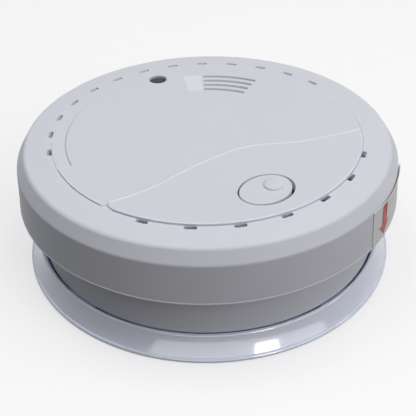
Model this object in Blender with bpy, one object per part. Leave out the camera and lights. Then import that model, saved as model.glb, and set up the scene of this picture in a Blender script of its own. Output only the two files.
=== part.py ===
"""Ceiling smoke alarm on its twist-lock mounting plate.

The ceiling side lies on z = 0 and the front of the alarm looks up along +Z.
The alarm turns about the Z axis on the plate; the test button rocks on a hinge in the cover.
"""
import math

import bmesh
import bpy
from mathutils import Matrix, Vector

MM = 0.001

# ---------------------------------------------------------------- shared
GAP = 0.3 * MM                   # air between pieces that rest on one another
BURY = 0.5 * MM                  # how far a rib runs into the wall it grows from
ROUND_STEPS = 72                 # sides of the large round shells
SMALL_STEPS = 20                 # sides of the small round pieces

# ---------------------------------------------------------------- mounting plate
PLATE_RIM_WIDTH = 4.05 * MM      # from the inside of the lip to the edge of the flared rim
PLATE_FLOOR = 1.6 * MM
PLATE_LIP_HEIGHT = 6.4 * MM
PLATE_LIP_WIDTH = 1.1 * MM
PLATE_RIM_HEIGHT = 2.4 * MM      # thickness of the rim at the foot of the flare
PLATE_NECK_CLEARANCE = 0.5 * MM  # between the plate's lip and the neck of the housing
KEYHOLE_SPACING = 60.0 * MM
KEYHOLE_HEAD_DIAMETER = 8.4 * MM
KEYHOLE_SLOT_WIDTH = 4.4 * MM
KEYHOLE_SLOT_LENGTH = 7.0 * MM

# ---------------------------------------------------------------- bayonet
LUG_COUNT = 4
LUG_FIRST_ANGLE = 45.0           # degrees
LUG_HALF_ANGLE = 5.0             # degrees
LUG_REACH = 1.9 * MM
LUG_THICKNESS = 1.4 * MM
HOOK_THICKNESS = 1.5 * MM
HOOK_STOP_ANGLE = 1.8            # degrees, width of the stop beside each hook

# ---------------------------------------------------------------- back housing
SMOKE_GAP = 3.3 * MM             # ring gap for smoke between the cover's side wall and the neck
NECK_WALL = 1.6 * MM
NECK_TOP = 22.0 * MM
NECK_BOTTOM = 5.7 * MM
SPIGOT_INSET = 2.3 * MM          # the spigot below the neck is this much smaller in radius
HOUSING_FLOOR_BOTTOM = 4.7 * MM
HOUSING_FLOOR = 1.6 * MM

# ---------------------------------------------------------------- front cover
COVER_DIAMETER = 101.0 * MM      # at the bottom of the side wall
COVER_DRAFT = 0.7 * MM           # radius lost from the bottom of the side wall to the shoulder
COVER_WALL = 1.8 * MM
COVER_BOTTOM = 19.2 * MM
SHOULDER_DROP = 4.1 * MM         # from the slots' plane down to the top of the side wall
FACE_HEIGHT = 34.0 * MM          # plane of the vent slots
CHAMFER_DROP = 0.55 * MM         # fall of the rim band from the slots to the chamfer
CHAMFER_WIDTH = 2.15 * MM
BACK_PANEL_RISE = 0.3 * MM
FRONT_PANEL_RISE = 0.5 * MM
RIM_BAND = 7.25 * MM             # from the panels out to the chamfer
CRESCENT_WIDTH = 3.6 * MM        # lowered crescent beside the back panel
CRESCENT_FROM = 28.0             # degrees
CRESCENT_TO = 204.0              # degrees
BACK_PANEL_CORNER = 232.4        # degrees, where the S-shaped edge leaves the rim
FRONT_PANEL_CORNER = 236.4       # degrees
S_POINTS = ((-0.356, -0.653), (-0.062, -0.396), (0.248, -0.198), (0.619, -0.139))   # of PANEL_RADIUS

VENT_OFFSET = 0.7 * MM           # middle of the vents outside the panels
VENT_LENGTH = 3.0 * MM
VENT_WIDTH = 1.2 * MM
FRONT_VENTS = (7, -111.5, 15.77)     # count, first angle and pitch in degrees
BACK_VENTS = (13, 41.6, 12.475)

GRILLE_INSET = 8.4 * MM          # outermost sound slot inside the panels' edge
GRILLE_PITCH = 2.63 * MM
GRILLE_SLOT = 1.15 * MM
GRILLE_ROWS = 4
GRILLE_FROM = 63.5               # degrees
GRILLE_OPEN_TO = 91.5            # degrees, slots are open up to here
GRILLE_BLIND_TO = 102.0          # degrees, and blind from there to here
GRILLE_BLIND_DEPTH = 0.5 * MM

WINDOW_DIAMETER = 5.0 * MM
WINDOW_INSET = 6.5 * MM          # lamp window inside the panels' edge
WINDOW_ANGLE = 114.4             # degrees
WINDOW_BOSS_WALL = 1.4 * MM
WINDOW_BOSS_LENGTH = 5.0 * MM

GUSSET_COUNT = 8
GUSSET_WIDTH = 1.2 * MM
SNAP_COUNT = 4
SNAP_WIDTH = 7.0 * MM
SNAP_THICKNESS = 1.6 * MM
SNAP_BOTTOM = 15.5 * MM
SNAP_BARB = 0.6 * MM
SNAP_BARB_HEIGHT = 2.0 * MM

# ---------------------------------------------------------------- test button
BUTTON_X = 13.8 * MM
BUTTON_Y = -27.1 * MM
BUTTON_TURN = 35.0               # degrees, long axis of the oval from +X
BUTTON_HOLE_LENGTH = 14.7 * MM
BUTTON_HOLE_WIDTH = 12.0 * MM
BUTTON_CLEARANCE = 0.45 * MM
BUTTON_PROUD = 0.9 * MM          # height of its free end above the front panel
BUTTON_SKIRT = 3.0 * MM          # depth of the cap below the front panel
BUTTON_EDGE = 0.4 * MM
PIP_DIAMETER = 4.7 * MM
PIP_HEIGHT = 0.45 * MM
PIP_OFFSET = 2.1 * MM
HINGE_OFFSET = 10.0 * MM         # hinge axis from the middle of the button
HINGE_DROP = 1.6 * MM            # hinge axis below the inside of the cover
HINGE_ARM_WIDTH = 5.6 * MM
TRUNNION_DIAMETER = 1.8 * MM
TRUNNION_LENGTH = 10.6 * MM
HINGE_LUG_THICKNESS = 1.5 * MM
HINGE_LUG_LENGTH = 3.4 * MM
STEM_DIAMETER = 3.2 * MM
STEM_OFFSET = 1.0 * MM           # stem and switch from the middle of the button

# ---------------------------------------------------------------- 9 V battery and its compartment
BATTERY_X = -18.0 * MM
BATTERY_WIDTH = 26.5 * MM
BATTERY_JACKET_LENGTH = 45.6 * MM
BATTERY_THICKNESS = 17.5 * MM
BATTERY_CORNER = 2.2 * MM
BATTERY_BOTTOM = 2.6 * MM
BATTERY_END = -26.0 * MM         # y of the closed end of the battery
TERMINAL_PLATE = 0.6 * MM
TERMINAL_SPACING = 12.7 * MM
TERMINAL_HEIGHT = 2.1 * MM
STUD_DIAMETER = 5.7 * MM
SOCKET_DIAMETER = 8.2 * MM
COMPARTMENT_WALL = 1.2 * MM
COMPARTMENT_SIDE_CLEARANCE = 0.4 * MM
CONTACT_SHEET = 0.5 * MM
CONTACT_WIDTH = 9.0 * MM
CONTACT_HEIGHT = 11.0 * MM
CONTACT_TAB_WIDTH = 5.0 * MM
CONTACT_TAB_REACH = 2.2 * MM     # how far a tab lies over the board

# ---------------------------------------------------------------- circuit board
BOARD_BOTTOM = 12.0 * MM
BOARD_THICKNESS = 1.6 * MM
BOARD_SNAP_CLEARANCE = 0.7 * MM  # between the board's round edge and the snap legs
BOARD_TONGUE_WIDTH = 24.0 * MM   # reach of the board behind the battery compartment
POST_DIAMETER = 6.8 * MM
SCREW_SHANK_DIAMETER = 2.4 * MM
SCREW_HEAD_DIAMETER = 4.8 * MM
SCREW_HEAD_HEIGHT = 1.6 * MM
SCREW_LENGTH = 7.0 * MM
SCREW_SOCKET = 0.9 * MM
SCREW_PLACES = ((3.0, -33.0), (28.0, -26.0), (33.0, 20.0), (-7.0, 36.5))    # millimetres

TACT_SIDE = 6.0 * MM
TACT_HEIGHT = 3.5 * MM
PLUNGER_DIAMETER = 3.5 * MM
PLUNGER_PROUD = 1.6 * MM
PLUNGER_SUNK = 1.2 * MM
PLUNGER_TRAVEL = 0.45 * MM

LED_DIAMETER = 5.0 * MM
LED_FLANGE = 5.8 * MM
LED_HEIGHT = 8.6 * MM
GUIDE_SUNK = 1.0 * MM            # end of the light guide below the back panel

CHIP_SIZE = (7.5 * MM, 10.3 * MM, 2.6 * MM)
CHIP_PLACE = (2.3 * MM, -15.0 * MM)
CAPACITOR_LARGE = (8.0 * MM, 11.5 * MM)     # diameter and height
CAPACITOR_LARGE_PLACE = (3.0 * MM, -24.6 * MM)
CAPACITOR_SMALL = (5.0 * MM, 7.0 * MM)
CAPACITOR_SMALL_PLACE = (22.6 * MM, -31.0 * MM)
COIL_SIZE = (8.0 * MM, 9.0 * MM)
COIL_PLACE = (25.6 * MM, 24.2 * MM)

# ---------------------------------------------------------------- optical chamber
CHAMBER_X = 23.0 * MM
CHAMBER_Y = -1.0 * MM
CHAMBER_DIAMETER = 35.0 * MM
CHAMBER_WALL = 1.5 * MM
CHAMBER_BASE_HEIGHT = 7.3 * MM
CHAMBER_HEADROOM = 1.6 * MM      # between the chamber and the inside of the cover
VANE_COUNT = 14
VANE_LENGTH = 5.2 * MM
VANE_THICKNESS = 0.9 * MM
VANE_TURN = 42.0                 # degrees from radial
SCREEN_THICKNESS = 0.4 * MM
OPTIC_DIAMETER = 5.0 * MM
OPTIC_LENGTH = 7.4 * MM
OPTIC_DISTANCE = 9.6 * MM        # middle of each optical part from the middle of the chamber
EMITTER_ANGLE = 100.0            # degrees
PHOTODIODE_ANGLE = -130.0        # degrees

# ---------------------------------------------------------------- sounder
SOUNDER_X = 9.1 * MM
SOUNDER_Y = 27.5 * MM
SOUNDER_DIAMETER = 23.0 * MM
SOUNDER_WALL = 1.4 * MM
SOUNDER_HEADROOM = 2.0 * MM      # between the sounder and the grille
SOUND_HOLE_DIAMETER = 8.0 * MM
LEDGE_HEIGHT = 21.0 * MM
LEDGE_THICKNESS = 1.0 * MM
LEDGE_WIDTH = 2.0 * MM
BRASS_THICKNESS = 0.5 * MM
CERAMIC_DIAMETER = 14.0 * MM
CERAMIC_THICKNESS = 0.4 * MM
SPRING_SHEET = 0.4 * MM
SPRING_WIDTH = 1.6 * MM
SPRING_REACH = 3.4 * MM

# ---------------------------------------------------------------- label
LABEL_FROM = -38.7               # degrees
LABEL_TO = -11.0                 # degrees
LABEL_THICKNESS = 0.3 * MM
LABEL_MARGIN = 0.4 * MM          # left bare above and below it on the side wall

# ---------------------------------------------------------------- worked out from the values above
COVER_RADIUS = COVER_DIAMETER / 2
NECK_RADIUS = COVER_RADIUS - COVER_WALL - SMOKE_GAP
NECK_INNER = NECK_RADIUS - NECK_WALL
SPIGOT_RADIUS = NECK_RADIUS - SPIGOT_INSET
HOUSING_BOTTOM = PLATE_FLOOR + GAP
HOUSING_FLOOR_TOP = HOUSING_FLOOR_BOTTOM + HOUSING_FLOOR
LUG_BOTTOM = HOUSING_BOTTOM
LUG_TOP = LUG_BOTTOM + LUG_THICKNESS
HOOK_BOTTOM = LUG_TOP + GAP
HOOK_TOP = HOOK_BOTTOM + HOOK_THICKNESS
PLATE_INNER = NECK_RADIUS + PLATE_NECK_CLEARANCE
PLATE_RADIUS = PLATE_INNER + PLATE_RIM_WIDTH
SHOULDER_RADIUS = COVER_RADIUS - COVER_DRAFT
CHAMFER_RADIUS = SHOULDER_RADIUS - CHAMFER_WIDTH
CHAMFER_HEIGHT = FACE_HEIGHT - CHAMFER_DROP
SHOULDER_HEIGHT = FACE_HEIGHT - SHOULDER_DROP
PANEL_RADIUS = CHAMFER_RADIUS - RIM_BAND
CRESCENT_RADIUS = PANEL_RADIUS - CRESCENT_WIDTH
VENT_RADIUS = PANEL_RADIUS + VENT_OFFSET
GRILLE_RADIUS = PANEL_RADIUS - GRILLE_INSET
WINDOW_RADIUS = PANEL_RADIUS - WINDOW_INSET
COVER_CEILING = FACE_HEIGHT - COVER_WALL
BACK_PANEL_HEIGHT = FACE_HEIGHT + BACK_PANEL_RISE
FRONT_PANEL_HEIGHT = FACE_HEIGHT + FRONT_PANEL_RISE
SNAP_OUTER = NECK_INNER - GAP
SNAP_INNER = SNAP_OUTER - SNAP_THICKNESS
BOARD_RADIUS = SNAP_INNER - BOARD_SNAP_CLEARANCE
BOARD_TOP = BOARD_BOTTOM + BOARD_THICKNESS
ON_BOARD = BOARD_TOP + GAP
HINGE_HEIGHT = COVER_CEILING - HINGE_DROP
BATTERY_TOP = BATTERY_BOTTOM + BATTERY_THICKNESS
BATTERY_MIDDLE = BATTERY_BOTTOM + BATTERY_THICKNESS / 2
JACKET_END = BATTERY_END + BATTERY_JACKET_LENGTH
TERMINAL_START = JACKET_END + GAP + TERMINAL_PLATE + GAP
CONTACT_START = TERMINAL_START + TERMINAL_HEIGHT + GAP
END_WALL = CONTACT_START + CONTACT_SHEET + GAP
COMPARTMENT_HALF = BATTERY_WIDTH / 2 + COMPARTMENT_SIDE_CLEARANCE
COMPARTMENT_LOW_Y = BATTERY_END - GAP
COMPARTMENT_ROOF = BATTERY_TOP + GAP
BOARD_LEFT = BATTERY_X + COMPARTMENT_HALF + COMPARTMENT_WALL + GAP
BOARD_BACK = END_WALL + COMPARTMENT_WALL + GAP
CHAMBER_RADIUS = CHAMBER_DIAMETER / 2
CHAMBER_BASE_TOP = ON_BOARD + CHAMBER_BASE_HEIGHT
CHAMBER_TOP = COVER_CEILING - CHAMBER_HEADROOM
CHAMBER_LID_BOTTOM = CHAMBER_TOP - CHAMBER_WALL
SOUNDER_TOP = COVER_CEILING - SOUNDER_HEADROOM
OPTIC_HEIGHT = ON_BOARD + CHAMBER_WALL + OPTIC_DIAMETER / 2 + 1.0 * MM
BRASS_TOP = LEDGE_HEIGHT - GAP
BRASS_BOTTOM = BRASS_TOP - BRASS_THICKNESS
CERAMIC_TOP = BRASS_BOTTOM - GAP
CERAMIC_BOTTOM = CERAMIC_TOP - CERAMIC_THICKNESS


def polar(radius, degrees, middle=(0.0, 0.0)):
    """Point at a radius and angle around a middle point, in plan."""
    angle = math.radians(degrees)
    return (middle[0] + radius * math.cos(angle), middle[1] + radius * math.sin(angle))


def arc(radius, start, end, steps, middle=(0.0, 0.0)):
    """Points along an arc in plan, both ends included, angles in degrees."""
    return [polar(radius, start + (end - start) * i / steps, middle) for i in range(steps + 1)]


def smooth_line(points, steps):
    """Points along a smooth curve that passes through the given points."""
    line = []
    for i in range(len(points) - 1):
        before = points[max(i - 1, 0)]
        start = points[i]
        end = points[i + 1]
        after = points[min(i + 2, len(points) - 1)]
        for step in range(steps):
            t = step / steps
            line.append(tuple(
                0.5 * (2 * start[k] + (end[k] - before[k]) * t
                       + (2 * before[k] - 5 * start[k] + 4 * end[k] - after[k]) * t * t
                       + (3 * start[k] - before[k] - 3 * end[k] + after[k]) * t ** 3)
                for k in range(2)))
    line.append(points[-1])
    return line


def oval(length, width, steps, middle, turn):
    """Points round an ellipse in plan, its long axis turned by degrees from +X."""
    cosine = math.cos(math.radians(turn))
    sine = math.sin(math.radians(turn))
    points = []
    for i in range(steps):
        angle = 2 * math.pi * i / steps
        u = length / 2 * math.cos(angle)
        v = width / 2 * math.sin(angle)
        points.append((middle[0] + u * cosine - v * sine, middle[1] + u * sine + v * cosine))
    return points


def turned(profile, steps, middle=(0.0, 0.0)):
    """Round solid turned about a vertical axis from a closed (radius, height) outline."""
    bm = bmesh.new()
    verts = [bm.verts.new((radius, 0.0, height)) for radius, height in profile]
    edges = [bm.edges.new((verts[i - 1], verts[i])) for i in range(len(verts))
             if profile[i - 1][0] > 0 or profile[i][0] > 0]
    bmesh.ops.spin(bm, geom=verts + edges, axis=(0, 0, 1), cent=(0, 0, 0), angle=2 * math.pi,
                   steps=steps, use_merge=True)
    bmesh.ops.remove_doubles(bm, verts=bm.verts, dist=1e-6)
    bmesh.ops.recalc_face_normals(bm, faces=bm.faces)
    hubs = [vert for vert in bm.verts if vert.co.xy.length < 1e-6
            and all(abs(face.normal.z) > 0.9999 for face in vert.link_faces)]
    bmesh.ops.dissolve_verts(bm, verts=hubs)
    bmesh.ops.translate(bm, verts=bm.verts, vec=(middle[0], middle[1], 0.0))
    return bm


def rod(radius, low, high, middle, steps=SMALL_STEPS):
    """Upright cylinder between two heights."""
    return turned([(0.0, high), (radius, high), (radius, low), (0.0, low)], steps, middle)


def prism(outline, low, high):
    """Upright solid with the given outline in plan."""
    bm = bmesh.new()
    face = bm.faces.new([bm.verts.new((x, y, low)) for x, y in outline])
    top = bmesh.ops.extrude_face_region(bm, geom=[face])["geom"]
    raised = [item for item in top if isinstance(item, bmesh.types.BMVert)]
    bmesh.ops.translate(bm, verts=raised, vec=(0.0, 0.0, high - low))
    bmesh.ops.recalc_face_normals(bm, faces=bm.faces)
    return bm


def block(low, high):
    """Box between two corners."""
    return prism([(low[0], low[1]), (high[0], low[1]), (high[0], high[1]), (low[0], high[1])],
                 low[2], high[2])


def radial_block(inner, outer, width, low, high, degrees):
    """Box that stands on a radius, turned to an angle about the Z axis."""
    bm = block((inner, -width / 2, low), (outer, width / 2, high))
    bmesh.ops.rotate(bm, verts=bm.verts, cent=(0, 0, 0),
                     matrix=Matrix.Rotation(math.radians(degrees), 3, 'Z'))
    return bm


def ring_piece(inner, outer, start, end, low, high, steps):
    """Part of a flat ring between two angles in degrees."""
    outline = arc(outer, start, end, steps) + arc(inner, end, start, steps)
    return prism(outline, low, high)


def merged(pieces):
    """One mesh that holds several closed bodies."""
    whole = bmesh.new()
    for piece in pieces:
        mesh = bpy.data.meshes.new("piece")
        piece.to_mesh(mesh)
        piece.free()
        whole.from_mesh(mesh)
        bpy.data.meshes.remove(mesh)
    return whole


def place_mesh(bm, name):
    """Object made from a mesh, linked to the scene."""
    mesh = bpy.data.meshes.new(name)
    bm.to_mesh(mesh)
    bm.free()
    obj = bpy.data.objects.new(name, mesh)
    bpy.context.scene.collection.objects.link(obj)
    return obj


def combine(obj, pieces, operation):
    """Join pieces to an object, or cut them out of it, and keep the result as its mesh."""
    tool = place_mesh(merged(pieces), "tool")
    modifier = obj.modifiers.new("combine", 'BOOLEAN')
    modifier.operation = operation
    modifier.solver = 'EXACT'
    modifier.use_self = True
    modifier.object = tool
    result = bpy.data.meshes.new_from_object(obj.evaluated_get(bpy.context.evaluated_depsgraph_get()))
    obj.modifiers.remove(modifier)
    old = obj.data
    obj.data = result
    result.name = obj.name
    bpy.data.meshes.remove(old)
    bpy.data.objects.remove(tool)
    return obj


def finish(obj, material, parent=None, pivot=None, smooth=30.0):
    """Give an object its material, its shading, its pivot and its parent."""
    obj.data.materials.clear()
    obj.data.materials.append(material)
    obj.data.shade_smooth()
    obj.data.set_sharp_from_angle(angle=math.radians(smooth))
    if pivot is not None:
        obj.data.transform(Matrix.Translation(-Vector(pivot)))
        obj.location = pivot
    if parent is not None:
        obj.parent = parent
    return obj


def surface(name, colour, roughness, metallic=0.0):
    """Principled material with a colour, a roughness and a metallic value."""
    material = bpy.data.materials.new(name)
    material.use_nodes = True
    shader = material.node_tree.nodes["Principled BSDF"]
    shader.inputs["Base Color"].default_value = (*colour, 1.0)
    shader.inputs["Roughness"].default_value = roughness
    shader.inputs["Metallic"].default_value = metallic
    return material


def at_button(u, v=0.0):
    """Point in plan from the middle of the button, u along the oval and v across it."""
    turn = math.radians(BUTTON_TURN)
    return (BUTTON_X + u * math.cos(turn) - v * math.sin(turn),
            BUTTON_Y + u * math.sin(turn) + v * math.cos(turn))


def button_block(low_u, high_u, low_v, high_v, low, high):
    """Box lined up with the button's long axis."""
    outline = [at_button(low_u, low_v), at_button(high_u, low_v),
               at_button(high_u, high_v), at_button(low_u, high_v)]
    return prism(outline, low, high)


def button_cross_rod(radius, length, u, height):
    """Cylinder across the button, parallel to its hinge."""
    bm = rod(radius, -length / 2, length / 2, (0.0, 0.0), 12)
    across = at_button(0.0, 1.0)
    direction = Vector((across[0] - BUTTON_X, across[1] - BUTTON_Y, 0.0))
    turn = Vector((0, 0, 1)).rotation_difference(direction).to_matrix()
    bmesh.ops.rotate(bm, verts=bm.verts, cent=(0, 0, 0), matrix=turn)
    bmesh.ops.translate(bm, verts=bm.verts, vec=(*at_button(u), height))
    return bm


def lug_angles():
    """Angles of the bayonet lugs in degrees."""
    return [LUG_FIRST_ANGLE + 360.0 / LUG_COUNT * i for i in range(LUG_COUNT)]


def vent_angles():
    """Angles of the vent slots in degrees, front run and back run."""
    angles = []
    for count, first, pitch in (FRONT_VENTS, BACK_VENTS):
        angles += [first + pitch * i for i in range(count)]
    return angles


def keyhole(side):
    """Cutter for one keyhole: round head with a slot that runs along +X from it."""
    head = KEYHOLE_HEAD_DIAMETER / 2
    half = KEYHOLE_SLOT_WIDTH / 2
    meet = math.degrees(math.asin(half / head))
    outline = arc(head, meet, 360.0 - meet, 18)
    outline += arc(half, -90.0, 90.0, 8, (KEYHOLE_SLOT_LENGTH, 0.0))
    middle = side * KEYHOLE_SPACING / 2
    return prism([(x, y + middle) for x, y in outline], -BURY, PLATE_FLOOR + BURY)


def build_mounting_plate(material):
    """Glossy ceiling plate: flat floor, concave flare out to the rim, hooks and keyholes."""
    rim = PLATE_RADIUS
    lip_outer = PLATE_INNER + PLATE_LIP_WIDTH
    lip_round = PLATE_LIP_WIDTH / 2
    edge_round = PLATE_RIM_HEIGHT / 2
    flare_foot = rim - edge_round * 0.5
    flare_top = PLATE_LIP_HEIGHT - lip_round
    profile = [(0.0, PLATE_FLOOR), (PLATE_INNER, PLATE_FLOOR), (PLATE_INNER, flare_top)]
    for step in range(1, 4):
        angle = math.pi * step / 4
        profile.append((PLATE_INNER + lip_round - lip_round * math.cos(angle),
                        flare_top + lip_round * math.sin(angle)))
    flare_steps = 7
    for step in range(flare_steps + 1):
        angle = math.pi / 2 * step / flare_steps
        profile.append((flare_foot - (flare_foot - lip_outer) * math.cos(angle),
                        flare_top - (flare_top - PLATE_RIM_HEIGHT) * math.sin(angle)))
    for step in range(1, 5):
        angle = math.pi / 2 - math.pi * step / 5
        profile.append((flare_foot + (rim - flare_foot) * math.cos(angle),
                        edge_round + edge_round * math.sin(angle)))
    profile += [(flare_foot, 0.0), (0.0, 0.0)]
    plate = place_mesh(turned(profile, ROUND_STEPS), "mounting_plate")
    pieces = []
    for angle in lug_angles():
        low_angle = angle - LUG_HALF_ANGLE
        stop = low_angle - math.degrees(GAP / SPIGOT_RADIUS)
        pieces.append(ring_piece(SPIGOT_RADIUS + GAP, PLATE_INNER + BURY, stop - HOOK_STOP_ANGLE,
                                 angle + LUG_HALF_ANGLE, HOOK_BOTTOM, HOOK_TOP, 4))
        pieces.append(ring_piece(SPIGOT_RADIUS + GAP, PLATE_INNER + BURY, stop - HOOK_STOP_ANGLE,
                                 stop, PLATE_FLOOR - BURY, HOOK_TOP - BURY, 1))
    combine(plate, pieces, 'UNION')
    combine(plate, [keyhole(-1), keyhole(1)], 'DIFFERENCE')
    return finish(plate, material)


def build_back_housing(material, parent):
    """Matte tray with the neck, the spigot and lugs, board posts and battery compartment."""
    inner_step = NECK_INNER - 1.2 * MM
    profile = [(0.0, HOUSING_FLOOR_TOP), (inner_step, HOUSING_FLOOR_TOP),
               (NECK_INNER, HOUSING_FLOOR_TOP + 1.2 * MM), (NECK_INNER, NECK_TOP),
               (NECK_RADIUS, NECK_TOP), (NECK_RADIUS, NECK_BOTTOM), (SPIGOT_RADIUS, NECK_BOTTOM),
               (SPIGOT_RADIUS, HOUSING_BOTTOM), (SPIGOT_RADIUS - NECK_WALL, HOUSING_BOTTOM),
               (SPIGOT_RADIUS - NECK_WALL, HOUSING_FLOOR_BOTTOM), (0.0, HOUSING_FLOOR_BOTTOM)]
    housing = place_mesh(turned(profile, ROUND_STEPS), "back_housing")
    low_x = BATTERY_X - COMPARTMENT_HALF
    high_x = BATTERY_X + COMPARTMENT_HALF
    wall = COMPARTMENT_WALL
    pieces = [block((low_x - wall, COMPARTMENT_LOW_Y - wall, HOUSING_BOTTOM),
                    (high_x + wall, END_WALL + wall, COMPARTMENT_ROOF + wall))]
    for place in SCREW_PLACES:
        middle = (place[0] * MM, place[1] * MM)
        pieces.append(rod(POST_DIAMETER / 2, HOUSING_FLOOR_TOP - BURY, BOARD_BOTTOM - GAP, middle))
    for angle in lug_angles():
        pieces.append(ring_piece(SPIGOT_RADIUS - BURY, SPIGOT_RADIUS + LUG_REACH, angle - LUG_HALF_ANGLE,
                                 angle + LUG_HALF_ANGLE, LUG_BOTTOM, LUG_TOP, 2))
    combine(housing, pieces, 'UNION')
    cuts = [block((low_x, COMPARTMENT_LOW_Y, HOUSING_BOTTOM - BURY),
                  (high_x, END_WALL, COMPARTMENT_ROOF))]
    for side in (-1, 1):
        middle = BATTERY_X + side * TERMINAL_SPACING / 2
        half = CONTACT_TAB_WIDTH / 2 + GAP
        cuts.append(block((middle - half, END_WALL - BURY, BOARD_TOP),
                          (middle + half, END_WALL + wall + BURY, ON_BOARD + CONTACT_SHEET + GAP)))
    for place in SCREW_PLACES:
        middle = (place[0] * MM, place[1] * MM)
        cuts.append(rod(SCREW_SHANK_DIAMETER / 2 + GAP, HOUSING_FLOOR_TOP, BOARD_BOTTOM, middle))
    for i in range(SNAP_COUNT):
        cuts.append(radial_block(NECK_INNER - BURY, NECK_INNER + SNAP_BARB, SNAP_WIDTH + 2 * GAP,
                                 SNAP_BOTTOM, SNAP_BOTTOM + SNAP_BARB_HEIGHT + 2 * GAP,
                                 360.0 / SNAP_COUNT * i))
    combine(housing, cuts, 'DIFFERENCE')
    return finish(housing, material, parent)


def s_line(shift):
    """S-shaped edge between the two panels, moved along Y by the shift."""
    start = polar(PANEL_RADIUS, BACK_PANEL_CORNER)
    end = polar(PANEL_RADIUS, -0.2)
    points = [start] + [(x * PANEL_RADIUS, y * PANEL_RADIUS) for x, y in S_POINTS] + [end]
    return [(x, y + shift) for x, y in smooth_line(points, 5)]


def back_panel():
    """Raised panel behind the S-shaped edge, narrower along the crescent."""
    outline = s_line(-GAP)
    outline += arc(PANEL_RADIUS, 2.0, CRESCENT_FROM, 5)
    outline += arc(CRESCENT_RADIUS, CRESCENT_FROM, CRESCENT_TO, 32)
    outline += arc(PANEL_RADIUS, CRESCENT_TO, BACK_PANEL_CORNER - 1.0, 5)
    return prism(outline, FACE_HEIGHT - BURY, BACK_PANEL_HEIGHT)


def front_panel():
    """Raised panel in front of the S-shaped edge, around the button."""
    edge = s_line(0.0)
    outline = edge[1:]
    outline += arc(PANEL_RADIUS, -4.0, FRONT_PANEL_CORNER - 360.0, 22)
    return prism(outline, FACE_HEIGHT - BURY, FRONT_PANEL_HEIGHT)


def build_front_cover(material, parent):
    """Cover shell with panels, vents, grille, lamp window, button hole, gussets and snap legs."""
    wall = COVER_WALL
    profile = [(0.0, FACE_HEIGHT), (PANEL_RADIUS + 1.6 * MM, FACE_HEIGHT), (CHAMFER_RADIUS, CHAMFER_HEIGHT),
               (SHOULDER_RADIUS, SHOULDER_HEIGHT), (COVER_RADIUS, COVER_BOTTOM),
               (COVER_RADIUS - wall, COVER_BOTTOM), (SHOULDER_RADIUS - wall, SHOULDER_HEIGHT - wall / 4),
               (CHAMFER_RADIUS - wall / 2, COVER_CEILING - CHAMFER_DROP),
               (PANEL_RADIUS, COVER_CEILING), (0.0, COVER_CEILING)]
    cover = place_mesh(turned(profile, ROUND_STEPS), "front_cover")
    combine(cover, [back_panel()], 'UNION')
    combine(cover, [front_panel()], 'UNION')
    pieces = []
    for i in range(GUSSET_COUNT):
        pieces.append(radial_block(NECK_INNER, SHOULDER_RADIUS - wall / 2, GUSSET_WIDTH,
                                   NECK_TOP + GAP, SHOULDER_HEIGHT,
                                   360.0 / GUSSET_COUNT * (i + 0.5)))
    for i in range(SNAP_COUNT):
        angle = 360.0 / SNAP_COUNT * i
        pieces.append(radial_block(SNAP_INNER, SNAP_OUTER, SNAP_WIDTH, SNAP_BOTTOM,
                                   COVER_CEILING + BURY, angle))
        pieces.append(radial_block(SNAP_INNER + BURY, SNAP_OUTER + SNAP_BARB, SNAP_WIDTH - 2 * GAP,
                                   SNAP_BOTTOM + GAP, SNAP_BOTTOM + SNAP_BARB_HEIGHT, angle))
    window = polar(WINDOW_RADIUS, WINDOW_ANGLE)
    pieces.append(rod(WINDOW_DIAMETER / 2 + WINDOW_BOSS_WALL, COVER_CEILING - WINDOW_BOSS_LENGTH,
                      COVER_CEILING + BURY, window))
    inner_v = HINGE_ARM_WIDTH / 2 + GAP
    outer_v = inner_v + HINGE_LUG_THICKNESS
    for low_v, high_v in ((-outer_v, -inner_v), (inner_v, outer_v)):
        pieces.append(button_block(-HINGE_OFFSET - HINGE_LUG_LENGTH / 2, -HINGE_OFFSET + HINGE_LUG_LENGTH / 2,
                                   low_v, high_v, HINGE_HEIGHT - HINGE_LUG_LENGTH / 2, COVER_CEILING + BURY))
    combine(cover, pieces, 'UNION')
    above = FRONT_PANEL_HEIGHT + BURY
    cuts = [radial_block(VENT_RADIUS - VENT_WIDTH / 2, VENT_RADIUS + VENT_WIDTH / 2, VENT_LENGTH,
                         COVER_CEILING - wall, above, angle) for angle in vent_angles()]
    for row in range(GRILLE_ROWS):
        middle = GRILLE_RADIUS - GRILLE_PITCH * row
        inner = middle - GRILLE_SLOT / 2
        outer = middle + GRILLE_SLOT / 2
        cuts.append(ring_piece(inner, outer, GRILLE_FROM, GRILLE_OPEN_TO, COVER_CEILING - BURY, above, 5))
        cuts.append(ring_piece(inner, outer, GRILLE_OPEN_TO + 0.5, GRILLE_BLIND_TO,
                               BACK_PANEL_HEIGHT - GRILLE_BLIND_DEPTH, above, 2))
    cuts.append(rod(WINDOW_DIAMETER / 2, COVER_CEILING - WINDOW_BOSS_LENGTH - BURY, above, window))
    cuts.append(prism(oval(BUTTON_HOLE_LENGTH, BUTTON_HOLE_WIDTH, 32, (BUTTON_X, BUTTON_Y), BUTTON_TURN),
                      COVER_CEILING - BURY, above))
    combine(cover, cuts, 'DIFFERENCE')
    bore = button_cross_rod(TRUNNION_DIAMETER / 2 + GAP, 2 * outer_v + 2 * BURY, -HINGE_OFFSET, HINGE_HEIGHT)
    combine(cover, [bore], 'DIFFERENCE')
    return finish(cover, material, parent)


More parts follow.
